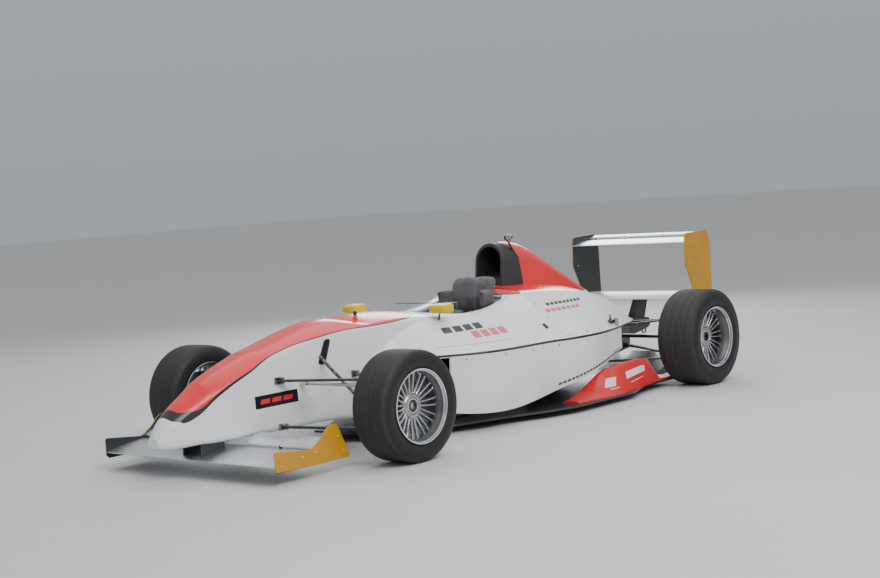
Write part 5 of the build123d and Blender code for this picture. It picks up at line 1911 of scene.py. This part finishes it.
def rear_details():
    """Springs on the rear dampers, brake cooling scoops, towing eye and the gearbox's bolts."""
    half, piece = Build(), Build()
    damper(half)
    half.use("carbon_side")
    scoop = rounded(oblong(*SCOOP_HALF), 0.012)
    rings = [[place(*spot) + Vector((0, a * size, b * size)) for a, b in scoop] for spot, size in SCOOP_RINGS]
    half.sweep(rings, caps=False)
    half.sweep([rings[0], centre_scaled(rings[0], 0.94), centre_scaled(rings[1], 0.92),
                centre_scaled(rings[2], 0.9)], caps=False)
    piece.both(half)
    eye = ((-0.004, 0.018), (-0.004, 0.027), (0.004, 0.027), (0.004, 0.018))
    piece.use("red_knob").lathe(eye, place(-3128, 0, 268), (0, 1, 0), 28)
    piece.use("arm").box(place(-3112, 0, 284), (0.02, 0.01, 0.02))
    piece.use("cast")
    gearbox = frame_nodes("gearbox")
    for x in CASE_BOLTS:
        for z in steps_between(150, 370, 5):
            for sign in (1, -1):
                met = on_skin(gearbox, place(x, sign * 400, z), (0, -sign, 0))
                if met:
                    piece.bolt(met[0] - met[1] * 0.001, met[1], 0.006, 0.006)
    piece.piece("rear_fittings", "root", "upright_alloy", smooth=40)


def centre_scaled(ring, share):
    """A ring drawn in towards its middle."""
    centre = sum((Vector(p) for p in ring), Vector()) / len(ring)
    return [centre + (Vector(p) - centre) * share for p in ring]


FLOOR_HALF = 60
SKY_LOW, SKY_HIGH = (0.62, 0.66, 0.7, 1), (0.95, 0.98, 1.0, 1)
SKY_TURN, SKY_STRENGTH = 0.6, 0.62

# Lights: name, place, aim, size, power, colour
LIGHTS = (
    ("key", (2.5, 5.5, 5.0), (0, 0, 0.3), (4.5, 2.5), 330, (1.0, 0.98, 0.95)),
    ("top", (-1.0, 0.0, 5.5), (0, 0, 0), (7.0, 5.0), 190, (0.96, 0.98, 1.0)),
    ("back", (-5.5, -4.0, 3.0), (0, 0, 0.4), (3.5, 2.0), 160, (0.95, 0.97, 1.0)),
)


def camera():
    """Camera at the photograph's viewpoint."""
    yaw, pitch, roll = CAMERA_YAW, CAMERA_PITCH, CAMERA_ROLL
    ahead = Vector((math.cos(pitch) * math.cos(yaw), math.cos(pitch) * math.sin(yaw), math.sin(pitch)))
    right = ahead.cross(Vector((0, 0, 1))).normalized()
    up = right.cross(ahead)
    side = math.cos(roll) * right + math.sin(roll) * up
    top = -math.sin(roll) * right + math.cos(roll) * up
    data = bpy.data.cameras.new("camera")
    data.lens, data.sensor_width = CAMERA_LENS, SENSOR_WIDTH
    thing = linked("camera", data)
    thing.matrix_world = Matrix((
        (side.x, top.x, -ahead.x, CAMERA_PLACE.x),
        (side.y, top.y, -ahead.y, CAMERA_PLACE.y),
        (side.z, top.z, -ahead.z, CAMERA_PLACE.z),
        (0, 0, 0, 1)))
    bpy.context.scene.camera = thing


def area_light(name, place, target, size, power, color):
    """Soft rectangular light aimed at a point."""
    data = bpy.data.lights.new(name, "AREA")
    data.shape = "RECTANGLE"
    data.size, data.size_y = size
    data.energy, data.color = power, color
    thing = linked(name, data)
    thing.location = place
    thing.rotation_euler = (Vector(target) - Vector(place)).to_track_quat("-Z", "Y").to_euler()


def studio():
    """Plain pale floor under a soft sky, with three area lights."""
    data = bpy.data.meshes.new("stage_floor")
    data.from_pydata([(x, y, 0) for x, y in oblong(FLOOR_HALF, FLOOR_HALF)], [], [(0, 1, 2, 3)])
    data.materials.append(stage_paint())
    floor = linked("stage_floor", data)
    world = bpy.data.worlds.new("studio")
    bpy.context.scene.world = world
    world.use_nodes = True
    nodes, links = world.node_tree.nodes, world.node_tree.links
    sky = nodes["Background"]
    coordinates = nodes.new("ShaderNodeTexCoord")
    split = nodes.new("ShaderNodeSeparateXYZ")
    links.new(coordinates.outputs["Generated"], split.inputs[0])
    ramp = nodes.new("ShaderNodeValToRGB")
    links.new(split.outputs[2], ramp.inputs[0])
    low, high = ramp.color_ramp.elements
    low.color, high.color = SKY_LOW, SKY_HIGH
    high.position = SKY_TURN
    links.new(ramp.outputs[0], sky.inputs[0])
    sky.inputs[1].default_value = SKY_STRENGTH
    for light in LIGHTS:
        area_light(*light)


def stage_paint():
    """Pale matt floor with a faint mottle."""
    shade = Shade("stage", Roughness=0.9)
    shade.color(shade.mix(shade.noise(1.2), (0.56, 0.56, 0.56), (0.6, 0.6, 0.6)))
    return shade.material


mirror_housing()
engine_cover()
air_box()
shoulder_panels()
duct_liners()
fairings()
wings()
endplates()
head_pad()
seat_pads()
steering_wheel()
dashboard_details()
screen()
hoop_camera()
suspension_details()
slot_and_latches()
drive_shafts()
tail_lamp()
rear_details()
camera()
studio()
